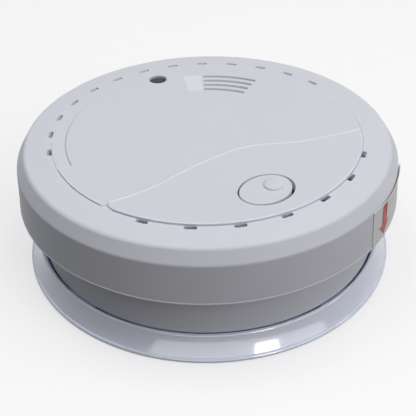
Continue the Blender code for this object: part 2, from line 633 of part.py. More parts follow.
def build_test_button(material, parent):
    """Oval cap that rocks on trunnions, with a pip on top and a stem down to the switch."""
    length = BUTTON_HOLE_LENGTH - 2 * BUTTON_CLEARANCE
    width = BUTTON_HOLE_WIDTH - 2 * BUTTON_CLEARANCE
    skirt = FRONT_PANEL_HEIGHT - BUTTON_SKIRT
    cap = prism(oval(length, width, 28, (BUTTON_X, BUTTON_Y), BUTTON_TURN), skirt, FRONT_PANEL_HEIGHT)
    top_edges = [edge for edge in cap.edges
                 if all(abs(v.co.z - FRONT_PANEL_HEIGHT) < 1e-6 for v in edge.verts)]
    bmesh.ops.bevel(cap, geom=top_edges, offset=BUTTON_EDGE, segments=2, profile=0.5, affect='EDGES')
    slope = BUTTON_PROUD / length
    turn = math.radians(BUTTON_TURN)
    for vert in cap.verts:
        along = (vert.co.x - BUTTON_X) * math.cos(turn) + (vert.co.y - BUTTON_Y) * math.sin(turn)
        if vert.co.z > skirt + BURY:
            vert.co.z += (along + length / 2) * slope
    button = place_mesh(cap, "test_button")
    lift = (PIP_OFFSET + length / 2) * slope
    base = FRONT_PANEL_HEIGHT + lift - BURY
    pip_radius = PIP_DIAMETER / 2
    pip_profile = [(0.0, base + BURY + PIP_HEIGHT), (pip_radius * 0.45, base + BURY + PIP_HEIGHT * 0.8),
                   (pip_radius * 0.8, base + BURY + PIP_HEIGHT * 0.4), (pip_radius, base + BURY - GAP / 2),
                   (pip_radius, base - GAP), (0.0, base - GAP)]
    arm_half = HINGE_ARM_WIDTH / 2
    arm_top = COVER_CEILING - GAP
    pieces = [turned(pip_profile, 16, at_button(PIP_OFFSET)),
              rod(STEM_DIAMETER / 2, stem_bottom(), skirt + BURY, at_button(STEM_OFFSET), 16),
              button_block(-HINGE_OFFSET - TRUNNION_DIAMETER / 2, -length / 2 + 3.0 * MM,
                           -arm_half, arm_half, HINGE_HEIGHT - TRUNNION_DIAMETER / 2, arm_top),
              button_cross_rod(TRUNNION_DIAMETER / 2, TRUNNION_LENGTH, -HINGE_OFFSET, HINGE_HEIGHT)]
    combine(button, pieces, 'UNION')
    return finish(button, material, parent, (*at_button(-HINGE_OFFSET), HINGE_HEIGHT))


def plunger_top():
    """Height of the top of the switch plunger."""
    return ON_BOARD + TACT_HEIGHT + PLUNGER_PROUD


def stem_bottom():
    """Height of the lower end of the button's stem."""
    return plunger_top() + GAP


def build_tact_switch(body_material, plunger_material, parent):
    """Push switch on the board under the button: square body and round plunger."""
    middle = at_button(STEM_OFFSET)
    half = TACT_SIDE / 2
    top = ON_BOARD + TACT_HEIGHT
    body = place_mesh(block((middle[0] - half, middle[1] - half, ON_BOARD),
                            (middle[0] + half, middle[1] + half, top)), "tact_switch_body")
    well = top - PLUNGER_SUNK - PLUNGER_TRAVEL - GAP
    combine(body, [rod(PLUNGER_DIAMETER / 2 + GAP, well, top + BURY, middle)], 'DIFFERENCE')
    finish(body, body_material, parent)
    plunger = place_mesh(rod(PLUNGER_DIAMETER / 2, top - PLUNGER_SUNK, plunger_top(), middle),
                         "tact_switch_plunger")
    finish(plunger, plunger_material, parent, (*middle, top))


def build_lamp(led_material, guide_material, parent):
    """Indicator lamp on the board and the clear rod that carries its light to the window."""
    middle = polar(WINDOW_RADIUS, WINDOW_ANGLE)
    radius = LED_DIAMETER / 2
    straight = ON_BOARD + LED_HEIGHT - radius
    profile = [(0.0, ON_BOARD + LED_HEIGHT)]
    for step in range(1, 4):
        angle = math.pi / 2 * step / 3
        profile.append((radius * math.sin(angle), straight + radius * math.cos(angle)))
    profile += [(radius, ON_BOARD + 1.0 * MM), (LED_FLANGE / 2, ON_BOARD + 1.0 * MM),
                (LED_FLANGE / 2, ON_BOARD), (0.0, ON_BOARD)]
    finish(place_mesh(turned(profile, 16, middle), "indicator_led"), led_material, parent)
    guide = rod(WINDOW_DIAMETER / 2 - GAP, ON_BOARD + LED_HEIGHT + GAP, BACK_PANEL_HEIGHT - GUIDE_SUNK, middle)
    finish(place_mesh(guide, "led_light_guide"), guide_material, parent)


def build_circuit_board(material, parent):
    """Board beside the battery compartment, with a tongue behind it for contacts and lamp."""
    tongue = BOARD_LEFT - BOARD_TONGUE_WIDTH
    start = -90.0 - math.degrees(math.asin(-BOARD_LEFT / BOARD_RADIUS))
    end = 90.0 + math.degrees(math.asin(-tongue / BOARD_RADIUS))
    outline = arc(BOARD_RADIUS, start, end, 32)
    outline += [(tongue, BOARD_BACK), (BOARD_LEFT, BOARD_BACK)]
    board = place_mesh(prism(outline, BOARD_BOTTOM, BOARD_TOP), "circuit_board")
    holes = [rod(SCREW_SHANK_DIAMETER / 2 + GAP, BOARD_BOTTOM - BURY, BOARD_TOP + BURY, (x * MM, y * MM))
             for x, y in SCREW_PLACES]
    combine(board, holes, 'DIFFERENCE')
    return finish(board, material, parent)


def build_board_screws(material, parent):
    """Pan-head screws that hold the board on its posts, each with a cross recess."""
    for number, place in enumerate(SCREW_PLACES, start=1):
        middle = (place[0] * MM, place[1] * MM)
        head = SCREW_HEAD_DIAMETER / 2
        top = ON_BOARD + SCREW_HEAD_HEIGHT
        tip = ON_BOARD - SCREW_LENGTH
        shank = SCREW_SHANK_DIAMETER / 2
        profile = [(0.0, top), (head * 0.7, top), (head, ON_BOARD + SCREW_HEAD_HEIGHT / 2), (head, ON_BOARD),
                   (shank, ON_BOARD), (shank, tip + shank), (0.0, tip)]
        screw = place_mesh(turned(profile, 14, middle), f"board_screw_{number}")
        arm = head * 0.55
        half = 0.3 * MM
        cross = [block((middle[0] - arm, middle[1] - half, top - SCREW_SOCKET),
                       (middle[0] + arm, middle[1] + half, top + BURY)),
                 block((middle[0] - half, middle[1] - arm, top - SCREW_SOCKET),
                       (middle[0] + half, middle[1] + arm, top + BURY))]
        combine(screw, cross[:1], 'DIFFERENCE')
        combine(screw, cross[1:], 'DIFFERENCE')
        finish(screw, material, parent)


def build_board_parts(chip_material, sleeve_material, coil_material, parent):
    """Controller chip, two capacitors and the coil that drives the sounder."""
    x, y = CHIP_PLACE
    chip = block((x - CHIP_SIZE[0] / 2, y - CHIP_SIZE[1] / 2, ON_BOARD),
                 (x + CHIP_SIZE[0] / 2, y + CHIP_SIZE[1] / 2, ON_BOARD + CHIP_SIZE[2]))
    finish(place_mesh(chip, "controller_chip"), chip_material, parent)
    for name, size, place in (("capacitor_large", CAPACITOR_LARGE, CAPACITOR_LARGE_PLACE),
                              ("capacitor_small", CAPACITOR_SMALL, CAPACITOR_SMALL_PLACE)):
        radius = size[0] / 2
        top = ON_BOARD + size[1]
        groove = ON_BOARD + 1.6 * MM
        profile = [(0.0, top), (radius * 0.9, top), (radius, top - radius * 0.1), (radius, groove + 0.4 * MM),
                   (radius * 0.92, groove), (radius, groove - 0.4 * MM), (radius, ON_BOARD), (0.0, ON_BOARD)]
        finish(place_mesh(turned(profile, 16, place), name), sleeve_material, parent)
    radius = COIL_SIZE[0] / 2
    top = ON_BOARD + COIL_SIZE[1]
    flange = 1.2 * MM
    profile = [(0.0, top), (radius, top), (radius, top - flange), (radius * 0.85, top - flange),
               (radius * 0.85, ON_BOARD + flange), (radius, ON_BOARD + flange), (radius, ON_BOARD),
               (0.0, ON_BOARD)]
    finish(place_mesh(turned(profile, 16, COIL_PLACE), "boost_coil"), coil_material, parent)


def optic_body(name, degrees, grow):
    """Lamp-shaped body lying on its side and pointing at the middle of the chamber."""
    radius = OPTIC_DIAMETER / 2 + grow
    half = OPTIC_LENGTH / 2 + grow
    profile = [(0.0, half), (radius * 0.6, half - radius * 0.15), (radius, half - radius * 0.6),
               (radius, -half), (0.0, -half)]
    bm = turned(profile, 16)
    bmesh.ops.rotate(bm, verts=bm.verts, cent=(0, 0, 0), matrix=Matrix.Rotation(math.radians(-90), 3, 'Y'))
    bmesh.ops.rotate(bm, verts=bm.verts, cent=(0, 0, 0),
                     matrix=Matrix.Rotation(math.radians(degrees), 3, 'Z'))
    middle = polar(OPTIC_DISTANCE, degrees, (CHAMBER_X, CHAMBER_Y))
    bmesh.ops.translate(bm, verts=bm.verts, vec=(*middle, OPTIC_HEIGHT))
    return place_mesh(bm, name) if name else bm


def build_chamber(black, mesh_material, emitter_material, photodiode_material, parent):
    """Optical chamber: cup with two cradles, labyrinth lid, insect screen and the two optical parts."""
    middle = (CHAMBER_X, CHAMBER_Y)
    inner = CHAMBER_RADIUS - CHAMBER_WALL
    floor_top = ON_BOARD + CHAMBER_WALL
    profile = [(0.0, floor_top), (inner, floor_top), (inner, CHAMBER_BASE_TOP), (CHAMBER_RADIUS, CHAMBER_BASE_TOP),
               (CHAMBER_RADIUS, ON_BOARD), (0.0, ON_BOARD)]
    base = place_mesh(turned(profile, 36, middle), "chamber_base")
    cradles = []
    for degrees in (EMITTER_ANGLE, PHOTODIODE_ANGLE):
        cradle = block((OPTIC_DISTANCE - OPTIC_LENGTH / 2 + GAP, -OPTIC_DIAMETER / 2 - 1.0 * MM,
                        floor_top - BURY),
                       (OPTIC_DISTANCE + OPTIC_LENGTH / 2 - 2 * GAP, OPTIC_DIAMETER / 2 + 1.0 * MM,
                        OPTIC_HEIGHT))
        bmesh.ops.rotate(cradle, verts=cradle.verts, cent=(0, 0, 0),
                         matrix=Matrix.Rotation(math.radians(degrees), 3, 'Z'))
        bmesh.ops.translate(cradle, verts=cradle.verts, vec=(*middle, 0.0))
        cradles.append(cradle)
    combine(base, cradles, 'UNION')
    combine(base, [optic_body("", EMITTER_ANGLE, GAP), optic_body("", PHOTODIODE_ANGLE, GAP)], 'DIFFERENCE')
    finish(base, black, parent)
    finish(optic_body("ir_emitter", EMITTER_ANGLE, 0.0), emitter_material, parent)
    finish(optic_body("photodiode", PHOTODIODE_ANGLE, 0.0), photodiode_material, parent)

    screen_low = CHAMBER_BASE_TOP + GAP
    screen_high = CHAMBER_LID_BOTTOM - GAP
    screen_outer = CHAMBER_RADIUS - GAP
    screen_inner = screen_outer - SCREEN_THICKNESS
    screen = turned([(screen_inner, screen_high), (screen_outer, screen_high), (screen_outer, screen_low),
                     (screen_inner, screen_low)], 36, middle)
    finish(place_mesh(screen, "insect_screen"), mesh_material, parent)

    lid = place_mesh(rod(CHAMBER_RADIUS, CHAMBER_LID_BOTTOM, CHAMBER_TOP, middle, 36), "chamber_cap")
    vanes = []
    vane_middle = screen_inner - GAP - VANE_LENGTH / 2 * math.cos(math.radians(VANE_TURN)) - VANE_THICKNESS
    for i in range(VANE_COUNT):
        vane = block((-VANE_LENGTH / 2, -VANE_THICKNESS / 2, screen_low),
                     (VANE_LENGTH / 2, VANE_THICKNESS / 2, CHAMBER_LID_BOTTOM + BURY))
        bmesh.ops.rotate(vane, verts=vane.verts, cent=(0, 0, 0),
                         matrix=Matrix.Rotation(math.radians(VANE_TURN), 3, 'Z'))
        bmesh.ops.translate(vane, verts=vane.verts, vec=(vane_middle, 0.0, 0.0))
        bmesh.ops.rotate(vane, verts=vane.verts, cent=(0, 0, 0),
                         matrix=Matrix.Rotation(2 * math.pi * i / VANE_COUNT, 3, 'Z'))
        bmesh.ops.translate(vane, verts=vane.verts, vec=(*middle, 0.0))
        vanes.append(vane)
    combine(lid, vanes, 'UNION')
    finish(lid, black, parent)


def sounder_spring(name, start, direction, top, material, parent):
    """Bent contact strip that stands on the board and presses up on the sounder disc."""
    side = SPRING_SHEET
    foot = ON_BOARD
    reach = SPRING_REACH
    profile = [(-1.4 * MM, foot), (0.0, foot), (reach, top - side), (reach + 1.4 * MM, top - side),
               (reach + 1.4 * MM, top), (reach - side, top), (-side, foot + side), (-1.4 * MM, foot + side)]
    bm = bmesh.new()
    near = [bm.verts.new((x, -SPRING_WIDTH / 2, z)) for x, z in profile]
    face = bm.faces.new(near)
    extruded = bmesh.ops.extrude_face_region(bm, geom=[face])["geom"]
    far = [item for item in extruded if isinstance(item, bmesh.types.BMVert)]
    bmesh.ops.translate(bm, verts=far, vec=(0.0, SPRING_WIDTH, 0.0))
    bmesh.ops.recalc_face_normals(bm, faces=bm.faces)
    bmesh.ops.rotate(bm, verts=bm.verts, cent=(0, 0, 0),
                     matrix=Matrix.Rotation(math.radians(direction), 3, 'Z'))
    bmesh.ops.translate(bm, verts=bm.verts, vec=(SOUNDER_X + start[0], SOUNDER_Y + start[1], 0.0))
    finish(place_mesh(bm, name), material, parent)


def build_sounder(black, brass, ceramic, steel, parent):
    """Sounder: horn housing, brass disc with its ceramic layer, and three contact springs."""
    middle = (SOUNDER_X, SOUNDER_Y)
    outer = SOUNDER_DIAMETER / 2
    inner = outer - SOUNDER_WALL
    hole = SOUND_HOLE_DIAMETER / 2
    lid = SOUNDER_TOP - SOUNDER_WALL
    profile = [(hole, SOUNDER_TOP), (outer, SOUNDER_TOP), (outer, ON_BOARD), (inner, ON_BOARD),
               (inner, LEDGE_HEIGHT), (inner - LEDGE_WIDTH, LEDGE_HEIGHT),
               (inner - LEDGE_WIDTH, LEDGE_HEIGHT + LEDGE_THICKNESS), (inner, LEDGE_HEIGHT + LEDGE_THICKNESS),
               (inner, lid), (hole, lid)]
    finish(place_mesh(turned(profile, 32, middle), "sounder_housing"), black, parent)
    finish(place_mesh(rod(inner - GAP, BRASS_BOTTOM, BRASS_TOP, middle, 32), "piezo_brass_disc"), brass, parent)
    finish(place_mesh(rod(CERAMIC_DIAMETER / 2, CERAMIC_BOTTOM, CERAMIC_TOP, middle, 28), "piezo_ceramic"),
           ceramic, parent)
    under_ceramic = CERAMIC_BOTTOM - GAP
    under_brass = BRASS_BOTTOM - GAP
    edge = CERAMIC_DIAMETER / 2 + 0.8 * MM
    sounder_spring("sounder_spring_main", (-2.4 * MM, -2.6 * MM), 0.0, under_ceramic, steel, parent)
    sounder_spring("sounder_spring_feedback", (2.4 * MM, 2.6 * MM), 180.0, under_ceramic, steel, parent)
    sounder_spring("sounder_spring_brass", (-edge, 3.2 * MM - SPRING_REACH), 90.0, under_brass, steel, parent)


def battery_profile(half_width, corner):
    """Rounded rectangle of the battery's end, as (x, z) points."""
    points = []
    for sign_x, sign_z, start in ((1, 1, 0.0), (-1, 1, 90.0), (-1, -1, 180.0), (1, -1, 270.0)):
        centre = (BATTERY_X + sign_x * (half_width - corner),
                  BATTERY_MIDDLE + sign_z * (BATTERY_THICKNESS / 2 - corner))
        points += arc(corner, start, start + 90.0, 3, centre)
    return points


def along_y(outline, start, end):
    """Solid with an (x, z) outline that runs along Y."""
    bm = bmesh.new()
    face = bm.faces.new([bm.verts.new((x, start, z)) for x, z in outline])
    extruded = bmesh.ops.extrude_face_region(bm, geom=[face])["geom"]
    far = [item for item in extruded if isinstance(item, bmesh.types.BMVert)]
    bmesh.ops.translate(bm, verts=far, vec=(0.0, end - start, 0.0))
    bmesh.ops.recalc_face_normals(bm, faces=bm.faces)
    return bm


def terminal(name, outer, hole, sides, x, material, parent):
    """Battery terminal on the end plate: a stud, or a hollow socket when it has a hole."""
    low = TERMINAL_START
    high = TERMINAL_START + TERMINAL_HEIGHT
    if hole > 0:
        profile = [(hole, high), (outer, high), (outer, low), (0.0, low), (0.0, low + 0.6 * MM),
                   (hole, low + 0.6 * MM)]
    else:
        profile = [(0.0, high), (outer * 0.85, high), (outer, high - 0.5 * MM), (outer * 0.9, low), (0.0, low)]
    bm = turned(profile, sides)
    bmesh.ops.rotate(bm, verts=bm.verts, cent=(0, 0, 0), matrix=Matrix.Rotation(math.radians(-90), 3, 'X'))
    bmesh.ops.translate(bm, verts=bm.verts, vec=(x, 0.0, BATTERY_MIDDLE))
    finish(place_mesh(bm, name), material, parent)


def build_battery(jacket_material, plate_material, metal, parent):
    """9 V block battery with its end plate and two snap terminals."""
    jacket = along_y(battery_profile(BATTERY_WIDTH / 2, BATTERY_CORNER), BATTERY_END, JACKET_END)
    finish(place_mesh(jacket, "battery_jacket"), jacket_material, parent)
    plate_start = JACKET_END + GAP
    plate = along_y(battery_profile(BATTERY_WIDTH / 2, BATTERY_CORNER), plate_start,
                    plate_start + TERMINAL_PLATE)
    finish(place_mesh(plate, "battery_terminal_plate"), plate_material, parent)
    terminal("battery_terminal_positive", STUD_DIAMETER / 2, 0.0, 16,
             BATTERY_X + TERMINAL_SPACING / 2, metal, parent)
    terminal("battery_terminal_negative", SOCKET_DIAMETER / 2, SOCKET_DIAMETER / 2 - 0.8 * MM, 6,
             BATTERY_X - TERMINAL_SPACING / 2, metal, parent)


def build_contacts(material, parent):
    """Spring plates against the battery terminals, with tabs through the wall onto the board."""
    for name, side in (("contact_positive", 1), ("contact_negative", -1)):
        x = BATTERY_X + side * TERMINAL_SPACING / 2
        plate = block((x - CONTACT_WIDTH / 2, CONTACT_START, BATTERY_MIDDLE - CONTACT_HEIGHT / 2),
                      (x + CONTACT_WIDTH / 2, CONTACT_START + CONTACT_SHEET, BATTERY_MIDDLE + CONTACT_HEIGHT / 2))
        contact = place_mesh(plate, name)
        tab = block((x - CONTACT_TAB_WIDTH / 2, CONTACT_START + CONTACT_SHEET / 2, ON_BOARD),
                    (x + CONTACT_TAB_WIDTH / 2, BOARD_BACK + CONTACT_TAB_REACH, ON_BOARD + CONTACT_SHEET))
        combine(contact, [tab], 'UNION')
        finish(contact, material, parent)


def build_side_label(material, parent):
    """Paper sticker that follows the side wall of the cover."""
    low = COVER_BOTTOM + LABEL_MARGIN
    high = SHOULDER_HEIGHT - LABEL_MARGIN
    slope = COVER_DRAFT / (SHOULDER_HEIGHT - COVER_BOTTOM)
    low_radius = COVER_RADIUS - slope * LABEL_MARGIN + GAP
    high_radius = SHOULDER_RADIUS + slope * LABEL_MARGIN + GAP
    steps = 8
    bm = bmesh.new()
    rings = []
    for i in range(steps + 1):
        angle = LABEL_FROM + (LABEL_TO - LABEL_FROM) * i / steps
        corners = ((low_radius, low), (low_radius + LABEL_THICKNESS, low),
                   (high_radius + LABEL_THICKNESS, high), (high_radius, high))
        rings.append([bm.verts.new((*polar(radius, angle), z)) for radius, z in corners])
    for first, second in zip(rings, rings[1:]):
        for k in range(4):
            bm.faces.new((first[k - 1], first[k], second[k], second[k - 1]))
    bm.faces.new(rings[0])
    bm.faces.new(list(reversed(rings[-1])))
    bmesh.ops.recalc_face_normals(bm, faces=bm.faces)
    finish(place_mesh(bm, "side_label"), material, parent)


def main():
    """Clear the scene and build the alarm."""
    for obj in list(bpy.data.objects):
        bpy.data.objects.remove(obj)
    alarm = bpy.data.objects.new("alarm_axis", None)
    bpy.context.scene.collection.objects.link(alarm)

    gloss_white = surface("gloss_white", (0.80, 0.82, 0.86), 0.18)
    matte_white = surface("matte_white", (0.70, 0.71, 0.74), 0.55)
    cover_white = surface("cover_white", (0.74, 0.76, 0.80), 0.42)
    paper = surface("paper", (0.85, 0.86, 0.84), 0.6)
    clear = surface("clear_rod", (0.35, 0.37, 0.40), 0.1)
    board_green = surface("board_green", (0.03, 0.16, 0.06), 0.4)
    black = surface("black_plastic", (0.015, 0.015, 0.016), 0.5)
    red_lamp = surface("red_lamp", (0.5, 0.02, 0.02), 0.15)
    steel = surface("steel", (0.6, 0.6, 0.6), 0.3, 1.0)
    brass = surface("brass", (0.75, 0.55, 0.22), 0.3, 1.0)
    ceramic = surface("ceramic", (0.72, 0.70, 0.66), 0.4)
    sleeve = surface("capacitor_sleeve", (0.02, 0.03, 0.08), 0.35)
    copper = surface("copper_coil", (0.55, 0.22, 0.10), 0.35, 1.0)
    dark_clear = surface("dark_epoxy", (0.02, 0.01, 0.03), 0.15)
    water_clear = surface("clear_epoxy", (0.6, 0.62, 0.66), 0.1)
    jacket = surface("battery_jacket", (0.05, 0.06, 0.08), 0.3, 0.6)

    build_mounting_plate(gloss_white)
    build_back_housing(matte_white, alarm)
    build_front_cover(cover_white, alarm)
    build_test_button(cover_white, alarm)
    build_tact_switch(black, matte_white, alarm)
    build_lamp(red_lamp, clear, alarm)
    build_circuit_board(board_green, alarm)
    build_board_screws(steel, alarm)
    build_board_parts(black, sleeve, copper, alarm)
    build_chamber(black, steel, water_clear, dark_clear, alarm)
    build_sounder(black, brass, ceramic, steel, alarm)
    build_battery(jacket, black, steel, alarm)
    build_contacts(steel, alarm)
    build_side_label(paper, alarm)


main()
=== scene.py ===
"""Smoke alarm on its twist-lock plate: the finished surfaces around the fixed model.

Laid out as an add-on and run as a script. Each operator makes one piece, or one group of like
pieces, in metres, in the model's own frame: +Z away from the ceiling, -Y on the button's side.
"""

import math

import bmesh
import bpy
from bpy.props import FloatProperty, IntProperty, PointerProperty, StringProperty
from mathutils import Matrix, Vector


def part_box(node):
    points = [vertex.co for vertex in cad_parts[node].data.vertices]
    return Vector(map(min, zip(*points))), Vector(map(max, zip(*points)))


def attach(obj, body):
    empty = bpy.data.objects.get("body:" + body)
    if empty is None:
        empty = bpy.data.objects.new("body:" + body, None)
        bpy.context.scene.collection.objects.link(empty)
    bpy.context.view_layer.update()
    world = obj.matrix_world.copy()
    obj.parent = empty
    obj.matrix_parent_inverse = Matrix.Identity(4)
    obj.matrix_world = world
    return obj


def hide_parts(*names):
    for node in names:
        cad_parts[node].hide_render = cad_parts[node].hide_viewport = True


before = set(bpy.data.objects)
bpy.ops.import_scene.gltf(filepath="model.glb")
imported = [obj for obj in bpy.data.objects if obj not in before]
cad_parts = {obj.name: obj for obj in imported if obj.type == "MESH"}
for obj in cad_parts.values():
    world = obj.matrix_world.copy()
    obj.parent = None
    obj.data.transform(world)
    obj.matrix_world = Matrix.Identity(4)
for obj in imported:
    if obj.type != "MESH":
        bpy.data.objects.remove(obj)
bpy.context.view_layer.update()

bl_info = {
    "name": "Smoke alarm",
    "version": (1, 0, 0),
    "blender": (4, 5, 0),
    "location": "3D View > Sidebar > Smoke alarm",
    "description": "Builds the finished surfaces of a ceiling smoke alarm around its fixed model",
    "category": "Add Mesh",
}

MM = 0.001

# Air between neighbouring parts, and how far a body or a cutter reaches into or past its neighbour
GAP = 0.3 * MM
BURY = 0.5 * MM

# Places and sizes that the model's boxes give
COVER_RADIUS, _, FRONT_PANEL_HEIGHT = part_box("front_cover")[1]
PLATE_RADIUS, _, PLATE_LIP_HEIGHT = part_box("mounting_plate")[1]
NECK_RADIUS, _, NECK_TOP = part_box("back_housing")[1]
HOUSING_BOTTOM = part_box("back_housing")[0].z
BOARD_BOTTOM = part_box("circuit_board")[0].z
BOARD_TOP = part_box("circuit_board")[1].z

# Cover, from the same driving sizes as the model, angles in degrees
FACE_HEIGHT = FRONT_PANEL_HEIGHT - 0.5 * MM
BACK_PANEL_HEIGHT = FACE_HEIGHT + 0.3 * MM
COVER_BOTTOM = 19.2 * MM
COVER_WALL = 1.8 * MM
COVER_DRAFT = 0.7 * MM
COVER_LIP = 0.1 * MM
COVER_LIP_HEIGHTS = (COVER_BOTTOM + 0.4 * MM, COVER_BOTTOM + 0.55 * MM)
SHOULDER_HEIGHT = FACE_HEIGHT - 4.1 * MM
SHOULDER_RADIUS = COVER_RADIUS - COVER_DRAFT
CHAMFER_RADIUS = SHOULDER_RADIUS - 2.15 * MM
CHAMFER_HEIGHT = FACE_HEIGHT - 0.55 * MM
COVER_CEILING = FACE_HEIGHT - COVER_WALL
PANEL_RADIUS = CHAMFER_RADIUS - 7.25 * MM
CRESCENT_RADIUS = PANEL_RADIUS - 3.6 * MM
CRESCENT_FROM = 28.0
CRESCENT_TO = 204.0
BACK_PANEL_CORNER = 232.4
FRONT_PANEL_CORNER = 236.4

# Points on the S-shaped edge between the panels, as shares of the panels' radius
S_POINTS = ((-0.356, -0.653), (-0.062, -0.396), (0.248, -0.198), (0.619, -0.139))
PANEL_EASE = 0.9 * MM

# Fine groove around the panels: its depth, how far it reaches under their edges and past them
GROOVE_DEPTH = 0.2 * MM
GROOVE_UNDER = 0.05 * MM
GROOVE_PAST = 0.18 * MM
GROOVE_PAST_CRESCENT = 0.15 * MM

# Fine beads along the panels' edges: how deep they are set in, and their rise above that
BEAD_BURY = 0.1 * MM
BEAD_RISE = 0.14 * MM

# Vents: count, first angle and pitch of each row, and how far they lean inward for their depth
VENT_RADIUS = PANEL_RADIUS + 0.7 * MM
VENT_LENGTH = 3.0 * MM
VENT_WIDTH = 1.2 * MM
VENT_LEAN = 0.4
FRONT_VENTS = (7, -111.5, 15.77)
BACK_VENTS = (13, 41.6, 12.475)

# Grille over the sounder: open slots, with a plain field beside them
GRILLE_RADIUS = PANEL_RADIUS - 8.4 * MM
GRILLE_PITCH = 2.63 * MM
GRILLE_SLOT = 1.15 * MM
GRILLE_ROWS = 4
GRILLE_LEAN = 0.35
GRILLE_FROM = 63.5
GRILLE_OPEN_TO = 91.5
GRILLE_FIELD_TO = 102.0
GRILLE_FIELD_RISE = 0.04 * MM

WINDOW_RADIUS = PANEL_RADIUS - 6.5 * MM
WINDOW_ANGLE = 114.4
WINDOW_DIAMETER = 5.0 * MM

# Button, in its own directions: u along the oval, v across it. A share of the pip is its upright side.
BUTTON_PLACE = (13.8 * MM, -27.1 * MM)
BUTTON_TURN = 35.0
BUTTON_HOLE = (14.7 * MM, 12.0 * MM)
BUTTON_STEPS = 72
BUTTON_SKIRT = 3.0 * MM
BUTTON_EDGE = 0.3 * MM
BUTTON_SET_BACK = 0.25 * MM
HINGE_OFFSET = 10.0 * MM
HINGE_HEIGHT = COVER_CEILING - 1.6 * MM
HINGE_ROD_RADIUS = 0.9 * MM
HINGE_HOLE_RADIUS = 1.2 * MM
STEM_OFFSET = 1.0 * MM
STEM_RADIUS = 1.6 * MM
PIP_DIAMETER = 4.7 * MM
PIP_HEIGHT = 0.75 * MM
PIP_SIDE = 0.35
PIP_OFFSET = 2.1 * MM

# Label on the cover's wall and its arrow, angles in degrees
LABEL_FROM = -38.7
LABEL_TO = -11.0
LABEL_HEIGHTS = (COVER_BOTTOM + 0.4 * MM, SHOULDER_HEIGHT - 0.3 * MM)
LABEL_OFF = 0.04 * MM
LABEL_THICKNESS = 0.15 * MM
LABEL_LOOSE_FROM = -35.0
LABEL_LOOSE_OVER = 5.0
LABEL_LOOSE_DEPTH = 2.0 * MM
LABEL_LIFT = 0.5 * MM
INK_OFF = 0.01 * MM
INK_THICKNESS = 0.03 * MM
ARROW_ANGLE = -31.8
ARROW_TOP = 29.3 * MM
ARROW_NECK = 23.4 * MM
ARROW_TIP = 20.1 * MM
ARROW_SHAFT_WIDTH = 2.8 * MM
ARROW_HEAD_WIDTH = 5.7 * MM

# Plate and housing, joined by lugs under hooks, with the cover's legs in the housing's catches
PLATE_FLOOR = 1.6 * MM
PLATE_INNER = NECK_RADIUS + 0.5 * MM
NECK_WALL = 1.6 * MM
NECK_INNER = NECK_RADIUS - NECK_WALL
NECK_BOTTOM = 5.7 * MM
HOUSING_FLOOR = (4.7 * MM, 6.3 * MM)
SPIGOT_RADIUS = NECK_RADIUS - 2.3 * MM
LUG_COUNT = 4
LUG_FIRST = 45.0
LUG_HALF_ANGLE = 5.0
LUG_REACH = 1.9 * MM
LUG_HEIGHTS = (HOUSING_BOTTOM + 0.05 * MM, HOUSING_BOTTOM + 1.4 * MM)
HOOK_HEIGHTS = (3.6 * MM, 5.1 * MM)
HOOK_STOP_ANGLE = 1.8
KEYHOLE_PLACES = (-30.0 * MM, 30.0 * MM)
KEYHOLE_HEAD = 8.4 * MM
KEYHOLE_SLOT = 4.4 * MM
KEYHOLE_RUN = 7.0 * MM
SNAP_COUNT = 4
SNAP_WIDTH = 7.0 * MM
SNAP_REACH = 0.6 * MM
SNAP_HEIGHT = 15.5 * MM
GUSSET_COUNT = 8
GUSSET_WIDTH = 1.2 * MM
POST_DIAMETER = 6.8 * MM
SCREW_HOLE_RADIUS = 1.5 * MM
SCREW_PLACES = ((3.0 * MM, -33.0 * MM), (28.0 * MM, -26.0 * MM), (33.0 * MM, 20.0 * MM),
                (-7.0 * MM, 36.5 * MM))


# ------------------------------------------------------------------------------ settings
class AlarmSizes(bpy.types.PropertyGroup):
    """Sizes that change how crisp or how soft the mouldings look."""
    round_steps: IntProperty(
        name="Round steps", description="Sides of the large round shells", default=220, min=48, max=512)
    edge_round: FloatProperty(
        name="Edge rounding", description="Rounding along the raised panels' edges", default=0.28 * MM,
        min=0.05 * MM, max=0.45 * MM, subtype='DISTANCE', unit='LENGTH', precision=5)
    shoulder_round: FloatProperty(
        name="Shoulder rounding", description="Rounding between the top and its chamfer", default=1.6 * MM,
        min=0.2 * MM, max=3.0 * MM, subtype='DISTANCE', unit='LENGTH', precision=5)
    button_clearance: FloatProperty(
        name="Button gap", description="Air between the button and its hole", default=0.58 * MM,
        min=0.2 * MM, max=1.0 * MM, subtype='DISTANCE', unit='LENGTH', precision=5)
    button_proud: FloatProperty(
        name="Button height", description="Height of the button's free end above the panel",
        default=0.4 * MM, min=0.0, max=0.9 * MM, subtype='DISTANCE', unit='LENGTH', precision=5)
    grain: FloatProperty(
        name="Mould grain", description="Spacing of the fine texture of the satin mouldings",
        default=0.45 * MM, min=0.1 * MM, max=2.0 * MM, subtype='DISTANCE', unit='LENGTH', precision=5)


